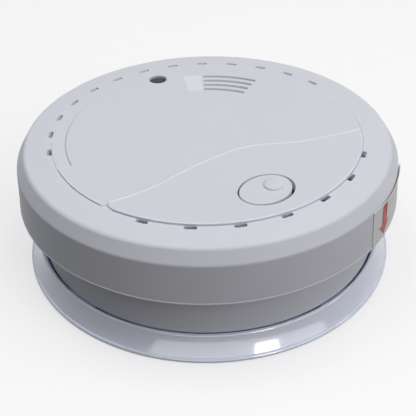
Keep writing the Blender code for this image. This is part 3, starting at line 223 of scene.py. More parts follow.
class AlarmColours(bpy.types.PropertyGroup):
    """Colours of the visible mouldings and of the label, as sRGB hex."""
    cover: StringProperty(name="Cover", description="Cover and button plastic", default="#DEDFE7")
    cover_shade: StringProperty(name="Cover drift", description="Other end of its drift", default="#DADCE5")
    # Lighter than the cover: a painted highlight on the beads and on the plain field beside the grille
    edges: StringProperty(name="Edges", description="Plastic of the polished beads", default="#EAEBF4")
    edges_shade: StringProperty(name="Edges drift", description="Other end of its drift", default="#E6E7F1")
    housing: StringProperty(name="Housing", description="Plastic of the neck and tray", default="#E3E4EC")
    housing_shade: StringProperty(
        name="Housing drift", description="Other end of its drift", default="#DEE0E9")
    plate: StringProperty(name="Plate", description="Glossy plastic of the mounting plate", default="#E8EDFF")
    plate_shade: StringProperty(name="Plate drift", description="Other end of its drift", default="#E4EAFE")
    label: StringProperty(name="Label", description="Paper of the side label", default="#E4E5E2")
    label_shade: StringProperty(name="Label drift", description="Other end of its drift", default="#DCDEDC")
    arrow: StringProperty(name="Arrow", description="Ink of the arrow on the label", default="#AE2026")
    arrow_shade: StringProperty(name="Arrow drift", description="Other end of its drift", default="#B4262B")
    floor: StringProperty(name="Floor", description="The plain floor under the alarm", default="#B4B4B6")
    floor_shade: StringProperty(name="Floor drift", description="Other end of its drift", default="#B1B1B3")


def sizes():
    """The size settings."""
    return bpy.context.scene.alarm_sizes


def colours():
    """The colour settings."""
    return bpy.context.scene.alarm_colours


# ------------------------------------------------------------------------------ plan geometry
def polar(radius, degrees, middle=(0.0, 0.0)):
    """Point at a radius and an angle round a middle point."""
    angle = math.radians(degrees)
    return (middle[0] + radius * math.cos(angle), middle[1] + radius * math.sin(angle))


def arc(radius, start, end, steps, middle=(0.0, 0.0)):
    """Points along an arc, both ends included."""
    return [polar(radius, start + (end - start) * i / steps, middle) for i in range(steps + 1)]


def smooth_line(points, steps):
    """Points on a smooth curve through the given points."""
    line = []
    for i in range(len(points) - 1):
        before = points[max(i - 1, 0)]
        start = points[i]
        end = points[i + 1]
        after = points[min(i + 2, len(points) - 1)]
        for step in range(steps):
            t = step / steps
            line.append(tuple(
                0.5 * (2 * start[k] + (end[k] - before[k]) * t
                       + (2 * before[k] - 5 * start[k] + 4 * end[k] - after[k]) * t * t
                       + (3 * start[k] - before[k] - 3 * end[k] + after[k]) * t ** 3)
                for k in range(2)))
    line.append(points[-1])
    return line


def filleted(corners, steps=6):
    """Outline through (x, y, radius) corners, each corner rounded to its radius."""
    outline = []
    count = len(corners)
    for i, (x, y, radius) in enumerate(corners):
        corner = Vector((x, y))
        to_last = Vector(corners[i - 1][:2]) - corner
        to_next = Vector(corners[(i + 1) % count][:2]) - corner
        if radius <= 0.0:
            outline.append((x, y))
            continue
        half = to_last.angle(to_next) / 2
        reach = min(radius / math.tan(half), to_last.length * 0.49, to_next.length * 0.49)
        to_last.normalize()
        to_next.normalize()
        start = corner + to_last * reach
        end = corner + to_next * reach
        centre = corner + (to_last + to_next).normalized() * (reach / math.cos(half))
        sweep = math.pi - 2 * half
        turn = (start - centre).angle_signed(end - centre)
        for step in range(steps + 1):
            spoke = (start - centre).copy()
            spoke.rotate(Matrix.Rotation(-math.copysign(sweep, turn) * step / steps, 2))
            outline.append(tuple(centre + spoke))
    return outline


def eased(outline, reach, steps=6, sharp=30.0):
    """Closed outline in plan whose sharp corners are rounded off over a reach along both sides."""
    points = [Vector(point) for point in outline]
    count = len(points)
    corners = []
    for i in range(count):
        turn = (points[i] - points[i - 1]).angle(points[(i + 1) % count] - points[i])
        if turn > math.radians(sharp):
            corners.append(i)
    passed = set()
    ends = {}
    for corner in corners:
        pair = []
        for step in (-1, 1):
            here = corner
            left = reach
            there = (here + step) % count
            length = (points[there] - points[here]).length
            while left >= length and there not in corners:
                left -= length
                here = there
                passed.add(here)
                there = (here + step) % count
                length = (points[there] - points[here]).length
            pair.append(points[here].lerp(points[there], min(left / length, 0.5)))
        ends[corner] = pair
    result = []
    for i in range(count):
        if i in ends:
            before, after = ends[i]
            for step in range(steps + 1):
                t = step / steps
                result.append(tuple(before.lerp(points[i], t).lerp(points[i].lerp(after, t), t)))
        elif i not in passed:
            result.append(tuple(points[i]))
    return result


def at_button(u, v=0.0):
    """Point in plan from the middle of the button."""
    turn = math.radians(BUTTON_TURN)
    return (BUTTON_PLACE[0] + u * math.cos(turn) - v * math.sin(turn),
            BUTTON_PLACE[1] + u * math.sin(turn) + v * math.cos(turn))


def button_oval(shrink):
    """Outline of the button's hole, drawn in by shrink."""
    half_u = BUTTON_HOLE[0] / 2 - shrink
    half_v = BUTTON_HOLE[1] / 2 - shrink
    angles = [2 * math.pi * i / BUTTON_STEPS for i in range(BUTTON_STEPS)]
    return [at_button(half_u * math.cos(angle), half_v * math.sin(angle)) for angle in angles]


# ------------------------------------------------------------------------------ meshes
def place(bm, name):
    """Object at the origin made from a bmesh."""
    mesh = bpy.data.meshes.new(name)
    bm.to_mesh(mesh)
    bm.free()
    obj = bpy.data.objects.new(name, mesh)
    bpy.context.scene.collection.objects.link(obj)
    return obj


def prism(outline, low, high, edge=0.0):
    """Upright solid with an outline in plan, its upper edge rounded."""
    bm = bmesh.new()
    face = bm.faces.new([bm.verts.new((x, y, low)) for x, y in outline])
    moved = bmesh.ops.extrude_face_region(bm, geom=[face])["geom"]
    raised = [item for item in moved if isinstance(item, bmesh.types.BMVert)]
    bmesh.ops.translate(bm, verts=raised, vec=(0.0, 0.0, high - low))
    bmesh.ops.recalc_face_normals(bm, faces=bm.faces)
    if edge > 0.0:
        upper = [item for item in bm.edges if all(abs(v.co.z - high) < 1e-7 for v in item.verts)]
        bmesh.ops.bevel(bm, geom=upper, offset=edge, segments=4, profile=0.5, affect='EDGES')
    return bm


def flared(outline, low, high, flare):
    """Cutter that opens out by flare over its last flare of height, to leave a small chamfer."""
    middle = Vector((sum(p[0] for p in outline), sum(p[1] for p in outline))) / len(outline)
    bm = bmesh.new()
    rings = []
    for level, grow in ((low, 0.0), (high - flare, 0.0), (high, flare), (high + BURY, flare)):
        ring = []
        for point in outline:
            away = Vector(point) - middle
            stretch = 1.0 + grow / away.length
            ring.append(bm.verts.new((middle.x + away.x * stretch, middle.y + away.y * stretch, level)))
        rings.append(ring)
    for lower, upper in zip(rings, rings[1:]):
        for i in range(len(outline)):
            bm.faces.new((lower[i - 1], lower[i], upper[i], upper[i - 1]))
    bm.faces.new(list(reversed(rings[0])))
    bm.faces.new(rings[-1])
    bmesh.ops.recalc_face_normals(bm, faces=bm.faces)
    return bm


def block(low, high):
    """Box between two corners."""
    outline = [(low[0], low[1]), (high[0], low[1]), (high[0], high[1]), (low[0], high[1])]
    return prism(outline, low[2], high[2])


def open_hubs(bm):
    """Make one flat face of each fan of triangles round a flat hub."""
    hubs = [vert for vert in bm.verts if vert.co.xy.length < 1e-6
            and all(abs(face.normal.z) > 0.9999 for face in vert.link_faces)]
    bmesh.ops.dissolve_verts(bm, verts=hubs)


def face_outwards(mesh, merge=0.0):
    """Turn a mesh's faces outwards once its doubles are merged, with flat hubs left whole."""
    bm = bmesh.new()
    bm.from_mesh(mesh)
    if merge > 0.0:
        bmesh.ops.remove_doubles(bm, verts=bm.verts, dist=merge)
    bmesh.ops.recalc_face_normals(bm, faces=bm.faces)
    open_hubs(bm)
    bm.to_mesh(mesh)
    bm.free()


def turned_bm(profile, steps, middle=(0.0, 0.0)):
    """Small round solid turned from a closed (radius, height) outline."""
    bm = bmesh.new()
    verts = [bm.verts.new((radius, 0.0, height)) for radius, height in profile]
    edges = [bm.edges.new((verts[i - 1], verts[i])) for i in range(len(verts))
             if profile[i - 1][0] > 0 or profile[i][0] > 0]
    bmesh.ops.spin(bm, geom=verts + edges, axis=(0, 0, 1), cent=(0, 0, 0), angle=2 * math.pi,
                   steps=steps, use_merge=True)
    bmesh.ops.remove_doubles(bm, verts=bm.verts, dist=1e-6)
    bmesh.ops.recalc_face_normals(bm, faces=bm.faces)
    open_hubs(bm)
    bmesh.ops.translate(bm, verts=bm.verts, vec=(*middle, 0.0))
    return bm


def merged(pieces):
    """One bmesh that holds several closed bodies."""
    whole = bmesh.new()
    for piece in pieces:
        mesh = bpy.data.meshes.new("piece")
        piece.to_mesh(mesh)
        piece.free()
        whole.from_mesh(mesh)
        bpy.data.meshes.remove(mesh)
    return whole


def bake(obj):
    """Turn an object's modifiers into its plain mesh."""
    evaluated = obj.evaluated_get(bpy.context.evaluated_depsgraph_get())
    result = bpy.data.meshes.new_from_object(evaluated)
    obj.modifiers.clear()
    old = obj.data
    obj.data = result
    bpy.data.meshes.remove(old)
    obj.data.name = obj.name
    return obj


def combine(obj, pieces, operation):
    """Join bodies to an object, or cut them out of it."""
    tool = pieces if isinstance(pieces, bpy.types.Object) else place(merged(pieces), "tool")
    modifier = obj.modifiers.new("combine", 'BOOLEAN')
    modifier.operation = operation
    modifier.solver = 'EXACT'
    modifier.use_self = operation == 'UNION'
    modifier.object = tool
    bake(obj)
    bpy.data.objects.remove(tool)
    return obj


def soften(obj, sharp=32.0):
    """Smooth shading that keeps flat faces flat and true edges crisp."""
    obj.data.shade_smooth()
    obj.data.set_sharp_from_angle(angle=math.radians(sharp))
    weighted = obj.modifiers.new("weighted", 'WEIGHTED_NORMAL')
    weighted.keep_sharp = True
    bake(obj)
    return obj


def check_closed(obj):
    """Stop the script if a finished piece has an open edge or faces inwards."""
    bm = bmesh.new()
    bm.from_mesh(obj.data)
    open_edges = sum(1 for edge in bm.edges if len(edge.link_faces) != 2)
    volume = bm.calc_volume(signed=True)
    bm.free()
    if open_edges or volume <= 0:
        raise RuntimeError(f"{obj.name}: {open_edges} open edges, volume {volume}")


def finish(obj, material, body, slot, *replaced):
    """Give a piece its material and its body, and hide the model nodes that it stands for. The slot is not
    used.
    """
    check_closed(obj)
    obj.data.materials.clear()
    obj.data.materials.append(material)
    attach(obj, body)
    if replaced:
        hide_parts(*replaced)
    return obj


# ------------------------------------------------------------------------------ node trees
def add(tree, kind, values=None, **settings):
    """Add a node, set its settings, and set or link its inputs by name or number."""
    node = tree.nodes.new(kind)
    for name, value in settings.items():
        setattr(node, name, value)
    for key, value in (values or {}).items():
        if isinstance(value, bpy.types.NodeSocket):
            tree.links.new(value, node.inputs[key])
        else:
            node.inputs[key].default_value = value
    return node


def geometry_tree(name, inputs):
    """Empty geometry tree with a geometry input and output and the named inputs."""
    tree = bpy.data.node_groups.new(name, 'GeometryNodeTree')
    tree.interface.new_socket(name="Geometry", in_out='INPUT', socket_type='NodeSocketGeometry')
    for label, kind in inputs:
        tree.interface.new_socket(name=label, in_out='INPUT', socket_type=kind)
    tree.interface.new_socket(name="Geometry", in_out='OUTPUT', socket_type='NodeSocketGeometry')
    return tree, tree.nodes.new('NodeGroupInput')


def end_tree(tree, geometry, material):
    """Close a tree: real geometry, its material, and the output."""
    realised = add(tree, 'GeometryNodeRealizeInstances', {"Geometry": geometry})
    painted = add(tree, 'GeometryNodeSetMaterial', {
        "Geometry": realised.outputs[0], "Material": material})
    add(tree, 'NodeGroupOutput', {0: painted.outputs[0]})
    return tree


def turned_tree():
    """Turns a profile of points round the Z axis into a closed shell."""
    tree, start = geometry_tree("Turned shell", (
        ("Steps", 'NodeSocketInt'), ("Finish", 'NodeSocketMaterial')))
    profile = start.outputs["Geometry"]
    steps = start.outputs["Steps"]
    size = add(tree, 'GeometryNodeAttributeDomainSize', {"Geometry": profile}, component='MESH')
    count = size.outputs[0]
    columns = add(tree, 'ShaderNodeMath', {0: steps, 1: 1.0}, operation='ADD').outputs[0]
    grid = add(tree, 'GeometryNodeMeshGrid', {"Vertices X": columns, "Vertices Y": count})
    index = add(tree, 'GeometryNodeInputIndex').outputs[0]
    along = add(tree, 'ShaderNodeMath', {0: index, 1: count}, operation='MODULO').outputs[0]
    share = add(tree, 'ShaderNodeMath', {0: index, 1: count}, operation='DIVIDE').outputs[0]
    column = add(tree, 'ShaderNodeMath', {0: share}, operation='FLOOR').outputs[0]
    part = add(tree, 'ShaderNodeMath', {0: column, 1: steps}, operation='DIVIDE').outputs[0]
    angle = add(tree, 'ShaderNodeMath', {0: part, 1: 2 * math.pi}, operation='MULTIPLY').outputs[0]
    position = add(tree, 'GeometryNodeInputPosition').outputs[0]
    sample = add(tree, 'GeometryNodeSampleIndex', data_type='FLOAT_VECTOR', domain='POINT')
    tree.links.new(profile, sample.inputs["Geometry"])
    tree.links.new(position, sample.inputs["Value"])
    tree.links.new(along, sample.inputs["Index"])
    swung = add(tree, 'ShaderNodeVectorRotate', {"Vector": sample.outputs[0], "Angle": angle},
                rotation_type='Z_AXIS').outputs[0]
    moved = add(tree, 'GeometryNodeSetPosition', {"Geometry": grid.outputs[0], "Position": swung})
    closed = add(tree, 'GeometryNodeMergeByDistance', {"Geometry": moved.outputs[0], "Distance": 1e-6})
    return end_tree(tree, closed.outputs[0], start.outputs["Finish"])


def round_array_tree():
    """Repeats a piece round the Z axis, from a first angle and at a pitch."""
    tree, start = geometry_tree("Round array", (
        ("Count", 'NodeSocketInt'), ("First Angle", 'NodeSocketFloat'), ("Pitch", 'NodeSocketFloat'),
        ("Finish", 'NodeSocketMaterial')))
    line = add(tree, 'GeometryNodeMeshLine', {
        "Count": start.outputs["Count"], "Offset": (0.0, 0.0, 0.0)})
    index = add(tree, 'GeometryNodeInputIndex').outputs[0]
    extra = add(tree, 'ShaderNodeMath', {0: index, 1: start.outputs["Pitch"]}, operation='MULTIPLY')
    angle = add(tree, 'ShaderNodeMath', {0: extra.outputs[0], 1: start.outputs["First Angle"]},
                operation='ADD').outputs[0]
    turn = add(tree, 'ShaderNodeCombineXYZ', {"Z": angle}).outputs[0]
    copies = add(tree, 'GeometryNodeInstanceOnPoints', {
        "Points": line.outputs[0], "Instance": start.outputs["Geometry"], "Rotation": turn})
    return end_tree(tree, copies.outputs[0], start.outputs["Finish"])


def run_tree(obj, tree, **inputs):
    """Run a geometry tree on an object, its inputs given by name, and keep the plain result."""
    modifier = obj.modifiers.new(tree.name, 'NODES')
    modifier.node_group = tree
    for item in tree.interface.items_tree:
        label = item.name.lower().replace(" ", "_")
        if item.item_type == 'SOCKET' and item.in_out == 'INPUT' and label in inputs:
            modifier[item.identifier] = inputs[label]
    return bake(obj)


def turned(name, profile, material):
    """Large round shell made by the turning tree from a closed (radius, height) outline."""
    hollow = profile[0][0] > 0.0 or profile[-1][0] > 0.0
    bm = bmesh.new()
    for radius, height in profile + profile[:1] * hollow:
        bm.verts.new((radius, 0.0, height))
    tree = bpy.data.node_groups.get("Turned shell") or turned_tree()
    obj = run_tree(place(bm, name), tree, steps=sizes().round_steps, finish=material)
    face_outwards(obj.data)
    return obj


def round_array(piece, count, first, pitch, material):
    """Copies of a bmesh round the Z axis, as one object of separate bodies."""
    tree = bpy.data.node_groups.get("Round array") or round_array_tree()
    return run_tree(place(piece, "array"), tree, count=count, first_angle=math.radians(first),
                    pitch=math.radians(pitch), finish=material)


# ------------------------------------------------------------------------------ materials
# Length over which colours drift, refractive index of ABS, start of the battery's copper band along
# its length, and strength of the floor's own glow
DRIFT_LENGTH = 22 * MM
ABS_IOR = 1.53
BATTERY_BAND_FROM = 6.0 * MM
FLOOR_GLOW = 0.58


def linear(hex_colour):
    """Linear RGBA of an sRGB hex colour."""
    channels = [int(hex_colour[i:i + 2], 16) / 255 for i in (1, 3, 5)]
    return (*(c / 12.92 if c <= 0.04045 else ((c + 0.055) / 1.055) ** 2.4 for c in channels), 1.0)


def made(maker):
    """The material that a function makes, made once and named after it."""
    return bpy.data.materials.get(maker.__name__) or maker(maker.__name__)


def surface(name, colour, shade, grain, roughness, spread, relief, values=None, stretch=(1.0, 1.0, 1.0)):
    """Material with a slow colour drift, an uneven gloss and a relief, the grain and relief in metres.

    The values are set on the shader itself. Real grains under about 0.2 mm would not show, so those
    are drawn as coarse as they need to show.
    """
    material = bpy.data.materials.new(name)
    material.use_nodes = True
    tree = material.node_tree
    shader = tree.nodes["Principled BSDF"]
    coords = add(tree, 'ShaderNodeTexCoord').outputs["Object"]
    sized = add(tree, 'ShaderNodeMapping', {"Vector": coords, "Scale": stretch}).outputs[0]
    fine = add(tree, 'ShaderNodeTexNoise', {
        "Vector": sized, "Scale": 1 / grain, "Detail": 3.0}).outputs[0]
    broad = add(tree, 'ShaderNodeTexNoise', {
        "Vector": coords, "Scale": 1 / DRIFT_LENGTH, "Detail": 4.0}).outputs[0]
    mix = add(tree, 'ShaderNodeMix', {0: broad, 6: linear(colour), 7: linear(shade)},
              data_type='RGBA').outputs[2]
    rough = add(tree, 'ShaderNodeMapRange', {
        "Value": fine, "To Min": roughness - spread, "To Max": roughness + spread}).outputs[0]
    bump = add(tree, 'ShaderNodeBump', {"Height": fine, "Distance": relief, "Strength": 1.0}).outputs[0]
    tree.links.new(mix, shader.inputs["Base Color"])
    tree.links.new(rough, shader.inputs["Roughness"])
    tree.links.new(bump, shader.inputs["Normal"])
    for socket, value in (values or {}).items():
        shader.inputs[socket].default_value = value
    return material


def repaint(material, colour):
    """Take a material's base colour from another node."""
    tree = material.node_tree
    tree.links.new(colour, tree.nodes["Principled BSDF"].inputs["Base Color"])
    return material


def abs_moulded_satin(name):
    """ABS from a lightly etched mould: soft broad highlights and a faint, even grain."""
    return surface(name, colours().cover, colours().cover_shade, sizes().grain, 0.5, 0.05, 0.006 * MM,
                   {"IOR": ABS_IOR, "Specular IOR Level": 0.3})


def abs_painted_highlight(name):
    """Smoother ABS of the beads and the plain field, its colour lighter than the cover's as a painted
    highlight.
    """
    return surface(name, colours().edges, colours().edges_shade, 1 * MM, 0.3, 0.04, 0.004 * MM,
                   {"IOR": ABS_IOR})


def abs_moulded_matte(name):
    """ABS from a coarser etched mould, duller than the cover."""
    return surface(name, colours().housing, colours().housing_shade, 0.5 * MM, 0.55, 0.06, 0.01 * MM,
                   {"IOR": ABS_IOR})


def abs_polished(name):
    """ABS from a polished mould: sharp reflections that a slow sink wave bends a little."""
    return surface(name, colours().plate, colours().plate_shade, 7 * MM, 0.13, 0.04, 0.03 * MM,
                   {"IOR": 1.55, "Coat Weight": 1.0, "Coat Roughness": 0.06})


def coated_label_paper(name):
    """Coated label paper: short fibres under a dull varnish."""
    return surface(name, colours().label, colours().label_shade, 0.3 * MM, 0.5, 0.08, 0.006 * MM,
                   stretch=(1.0, 1.0, 3.0))


def printed_ink(name):
    """Offset ink on the label, a little uneven where the fibres take less of it."""
    return surface(name, colours().arrow, colours().arrow_shade, 0.35 * MM, 0.42, 0.08, 0.004 * MM)


def acrylic_rod(name):
    """Clear acrylic rod with a frosted end, its base colour dark grey as painted shade of the dark inside
    seen through it.
    """
    return surface(name, "#2C2F35", "#272A30", 0.4 * MM, 0.38, 0.05, 0.02 * MM,
                   {"IOR": 1.49, "Transmission Weight": 0.3})


def glass_epoxy_board(name):
    """Glass-epoxy laminate under green solder mask, with lighter tracks of copper below the mask."""
    material = surface(name, "#0E4A22", "#12572A", 0.6 * MM, 0.35, 0.06, 0.01 * MM)
    tree = material.node_tree
    coords = add(tree, 'ShaderNodeTexCoord').outputs["Object"]
    sized = add(tree, 'ShaderNodeMapping', {
        "Vector": coords, "Rotation": (0.0, 0.0, math.radians(45))}).outputs[0]
    tracks = add(tree, 'ShaderNodeTexBrick', {
        "Vector": sized, "Scale": 1 / (5 * MM), "Mortar Size": 0.06, "Mortar Smooth": 0.1, "Bias": 0.0,
        "Color1": linear("#0F4F25"), "Color2": linear("#0C431E"), "Mortar": linear("#2C7A3E")})
    return repaint(material, tracks.outputs["Color"])


def nylon_black(name):
    """Black moulded nylon: an even, fine etched grain that dulls its highlights."""
    return surface(name, "#1B1B1D", "#242427", 0.35 * MM, 0.5, 0.08, 0.01 * MM)


def plated_steel(name):
    """Nickel-plated spring steel, rolled: bright, with fine lines along one way."""
    return surface(name, "#C9C8C4", "#B4B3AE", 0.25 * MM, 0.28, 0.08, 0.003 * MM,
                   {"Metallic": 1.0}, (1.0, 12.0, 1.0))


def lamp_epoxy_red(name):
    """Red tinted epoxy of a 5 mm lamp, cast and glossy."""
    return surface(name, "#B31217", "#8E0E12", 1.0 * MM, 0.12, 0.04, 0.01 * MM,
                   {"Transmission Weight": 0.4})


def clear_epoxy(name):
    """Water-clear cast epoxy: glossy, with light passing through."""
    return surface(name, "#D8DCE4", "#C8CDD6", 1.0 * MM, 0.1, 0.04, 0.01 * MM,
                   {"Transmission Weight": 0.7})


def dark_epoxy(name):
    """Cast epoxy that lets only infra-red light through, so it looks nearly black."""
    return surface(name, "#15101C", "#1F1828", 1.0 * MM, 0.12, 0.04, 0.01 * MM)


def rolled_brass(name):
    """Rolled brass sheet: yellow, with fine lines along the rolling direction."""
    return surface(name, "#D2A24C", "#BD8C3A", 0.3 * MM, 0.3, 0.1, 0.003 * MM,
                   {"Metallic": 1.0}, (1.0, 14.0, 1.0))


def fired_ceramic(name):
    """Fired ceramic under a thin layer of silver paste: pale and dull."""
    return surface(name, "#CFCBC2", "#BDB8AE", 0.4 * MM, 0.45, 0.1, 0.01 * MM)


def printed_battery_jacket(name):
    """Printed tinplate: dark body with a copper-coloured band at the terminal end."""
    material = surface(name, "#1E2128", "#262A33", 0.8 * MM, 0.3, 0.05, 0.004 * MM, {"Metallic": 0.6})
    tree = material.node_tree
    coords = add(tree, 'ShaderNodeTexCoord').outputs["Object"]
    along = add(tree, 'ShaderNodeSeparateXYZ', {0: coords}).outputs[1]
    band = add(tree, 'ShaderNodeMath', {0: along, 1: BATTERY_BAND_FROM}, operation='GREATER_THAN').outputs[0]
    mix = add(tree, 'ShaderNodeMix', {0: band, 6: linear("#20232B"), 7: linear("#B0703A")},
              data_type='RGBA')
    return repaint(material, mix.outputs[2])


def pvc_sleeve(name):
    """Shrunk PVC sleeve, dark blue, smooth and a little waxy."""
    return surface(name, "#141B33", "#1A2340", 0.8 * MM, 0.3, 0.06, 0.01 * MM)


def enamelled_copper(name):
    """Enamelled copper wire: orange-brown metal that shines along each turn."""
    return surface(name, "#B5622D", "#8F4A22", 0.3 * MM, 0.28, 0.06, 0.004 * MM, {"Metallic": 1.0})


def pressed_ferrite(name):
    """Pressed and fired ferrite: dark grey, slightly granular."""
    return surface(name, "#2E2E31", "#3A3A3E", 0.2 * MM, 0.6, 0.1, 0.02 * MM)


def painted_floor(name):
    """Matte white paint on the plain floor: no shine, and a glow of its own so that it stays even."""
    return surface(name, colours().floor, colours().floor_shade, 3 * MM, 0.8, 0.05, 0.01 * MM,
                   {"Emission Color": (1.0, 1.0, 1.0, 1.0), "Emission Strength": FLOOR_GLOW,
                    "Specular IOR Level": 0.0})


# ------------------------------------------------------------------------------ shapes of the parts
def plate_profile():
    """Half section of the plate: floor, upright lip, slightly hollow flare and thin rounded rim."""
    rim_top = 1.3 * MM
    lip_width = 1.1 * MM
    lip_round = lip_width / 2
    edge = rim_top / 2
    fillet = 0.8 * MM
    hollow = 0.12 * MM
    corner = PLATE_INNER - fillet
    flare_top = PLATE_LIP_HEIGHT - lip_round
    lip_outer = PLATE_INNER + lip_width
    foot = PLATE_RADIUS - edge
    profile = [(0.0, PLATE_FLOOR), (corner, PLATE_FLOOR)]
    for step in range(1, 5):
        angle = math.pi / 2 * step / 4
        profile.append((corner + fillet * math.sin(angle), PLATE_FLOOR + fillet * (1 - math.cos(angle))))
    for step in range(13):
        angle = math.pi * step / 12
        profile.append((PLATE_INNER + lip_round * (1 - math.cos(angle)),
                        flare_top + lip_round * math.sin(angle)))
    for step in range(1, 21):
        share = step / 20
        sag = hollow * math.sin(math.pi * share)
        profile.append((lip_outer + (foot - lip_outer) * share - sag,
                        flare_top + (rim_top - flare_top) * share - sag))
    for step in range(1, 12):
        angle = math.pi / 2 - math.pi * step / 12
        profile.append((foot + edge * math.cos(angle), edge + edge * math.sin(angle)))
    return profile + [(foot, 0.0), (0.0, 0.0)]


def ring_piece(inner, outer, start, end, low, high, steps):
    """Part of a flat ring between two angles in degrees."""
    return prism(arc(outer, start, end, steps) + arc(inner, end, start, steps), low, high)


def plate_hook():
    """Twist-lock hook about +X, with the stop that a lug meets at the end of its turn."""
    inner = SPIGOT_RADIUS + GAP
    outer = PLATE_INNER + BURY
    low_angle = -LUG_HALF_ANGLE - math.degrees(GAP / SPIGOT_RADIUS)
    stop_start = low_angle - HOOK_STOP_ANGLE
    return merged([
        ring_piece(inner, outer, stop_start, LUG_HALF_ANGLE, *HOOK_HEIGHTS, 6),
        ring_piece(inner, outer, stop_start, low_angle, PLATE_FLOOR - BURY, HOOK_HEIGHTS[1] - BURY, 2)])


def keyhole(y):
    """Cutter for a round hole with a slot that runs to +X."""
    head = KEYHOLE_HEAD / 2
    slot = KEYHOLE_SLOT / 2
    meet = math.degrees(math.asin(slot / head))
    outline = arc(head, meet, 360.0 - meet, 32, (0.0, y))
    outline += arc(slot, -90.0, 90.0, 12, (KEYHOLE_RUN, y))
    return prism(outline, -BURY, PLATE_FLOOR + BURY)


def housing_profile():
    """Half section of the tray: floor, neck wall and spigot."""
    low, high = HOUSING_FLOOR
    return filleted([
        (0.0, high, 0.0), (NECK_INNER, high, 1.2 * MM), (NECK_INNER, NECK_TOP, 0.4 * MM),
        (NECK_RADIUS, NECK_TOP, 0.4 * MM), (NECK_RADIUS, NECK_BOTTOM, 0.3 * MM),
        (SPIGOT_RADIUS, NECK_BOTTOM, 0.0), (SPIGOT_RADIUS, HOUSING_BOTTOM, 0.3 * MM),
        (SPIGOT_RADIUS - NECK_WALL, HOUSING_BOTTOM, 0.3 * MM), (SPIGOT_RADIUS - NECK_WALL, low, 0.4 * MM),
        (0.0, low, 0.0)])


def cover_profile():
    """Half section of the cover: flat face, falling band, soft chamfer, drafted wall and small lip."""
    soft = sizes().shoulder_round
    inner = COVER_RADIUS - COVER_WALL
    return filleted([
        (0.0, FACE_HEIGHT, 0.0), (PANEL_RADIUS + 1.6 * MM, FACE_HEIGHT, 20 * MM),
        (CHAMFER_RADIUS, CHAMFER_HEIGHT, soft), (SHOULDER_RADIUS, SHOULDER_HEIGHT, soft),
        (COVER_RADIUS - COVER_LIP, COVER_LIP_HEIGHTS[1], 0.1 * MM),
        (COVER_RADIUS, COVER_LIP_HEIGHTS[0], 0.05 * MM),
        (COVER_RADIUS, COVER_BOTTOM, 0.1 * MM), (inner, COVER_BOTTOM, 0.2 * MM),
        (SHOULDER_RADIUS - COVER_WALL, SHOULDER_HEIGHT - COVER_WALL / 4, 1.0 * MM),
        (CHAMFER_RADIUS - COVER_WALL / 2, COVER_CEILING - (FACE_HEIGHT - CHAMFER_HEIGHT), 0.5 * MM),
        (PANEL_RADIUS, COVER_CEILING, 0.0), (0.0, COVER_CEILING, 0.0)], 8)


def s_line(shift):
    """S-shaped edge between the two panels, moved along Y."""
    points = [polar(PANEL_RADIUS, BACK_PANEL_CORNER)]
    points += [(x * PANEL_RADIUS, y * PANEL_RADIUS) for x, y in S_POINTS]
    points += [polar(PANEL_RADIUS, -0.2)]
    return [(x, y + shift) for x, y in smooth_line(points, 14)]


def back_panel():
    """Raised panel behind the S-shaped edge, narrower along the crescent."""
    outline = s_line(-GAP)
    outline += arc(PANEL_RADIUS, 2.0, CRESCENT_FROM, 18)
    outline += arc(CRESCENT_RADIUS, CRESCENT_FROM, CRESCENT_TO, 110)
    outline += arc(PANEL_RADIUS, CRESCENT_TO, BACK_PANEL_CORNER - 0.6, 20)
    return prism(eased(outline, PANEL_EASE), FACE_HEIGHT - BURY, BACK_PANEL_HEIGHT,
                 sizes().edge_round * 0.7)


def front_panel():
    """Raised panel in front of the S-shaped edge, around the button."""
    outline = s_line(0.0)[2:]
    outline += arc(PANEL_RADIUS, -3.0, FRONT_PANEL_CORNER - 360.0, 90)
    return prism(eased(outline, PANEL_EASE), FACE_HEIGHT - BURY, FRONT_PANEL_HEIGHT,
                 sizes().edge_round)


def vent():
    """Cutter for one vent about +X, which leans inward as it goes down."""
    low = VENT_RADIUS - VENT_WIDTH / 2
    high = VENT_RADIUS + VENT_WIDTH / 2
    corner = 0.4 * MM
    half = VENT_LENGTH / 2
    outline = filleted([(low, -half, corner), (high, -half, corner), (high, half, corner),
                        (low, half, corner)], 5)
    bm = prism(outline, COVER_CEILING - COVER_WALL, FRONT_PANEL_HEIGHT + BURY)
    for vert in bm.verts:
        vert.co.x += VENT_LEAN * (vert.co.z - FACE_HEIGHT)
    return bm


def panel_groove():
    """Cutters for the fine groove that runs around the two panels."""
    inner = PANEL_RADIUS - GROOVE_UNDER
    outer = PANEL_RADIUS + GROOVE_PAST
    near = CRESCENT_RADIUS - GROOVE_UNDER
    far = CRESCENT_RADIUS + GROOVE_PAST_CRESCENT
    low = FACE_HEIGHT - GROOVE_DEPTH
    high = FRONT_PANEL_HEIGHT + BURY
    return [ring_piece(inner, outer, CRESCENT_TO - 19.0, FRONT_PANEL_CORNER - 4.6, low, high, 56),
            ring_piece(inner, outer, FRONT_PANEL_CORNER + 0.4, 372.0, low, high, 146),
            ring_piece(near, far, 150.0, CRESCENT_TO - 1.5, low, high, 60)]


def bead(points, width, panel_height, rise=BEAD_RISE):
    """Low half-round bead along a line of points in plan, set into a panel at its height."""
    base = panel_height - BEAD_BURY
    bm = bmesh.new()
    rings = []
    for index, (x, y) in enumerate(points):
        before = points[max(index - 1, 0)]
        after = points[min(index + 1, len(points) - 1)]
        along = Vector((after[0] - before[0], after[1] - before[1])).normalized()
        ring = []
        for step in range(7):
            angle = math.pi * step / 6
            off = width / 2 * math.cos(angle)
            ring.append(bm.verts.new((x - along.y * off, y + along.x * off,
                                      base + rise * math.sin(angle))))
        rings.append(ring)
    for near, far in zip(rings, rings[1:]):
        for k in range(7):
            bm.faces.new((near[k], near[(k + 1) % 7], far[(k + 1) % 7], far[k]))
    bm.faces.new(rings[0])
    bm.faces.new(rings[-1][::-1])
    bmesh.ops.recalc_face_normals(bm, faces=bm.faces)
    return bm


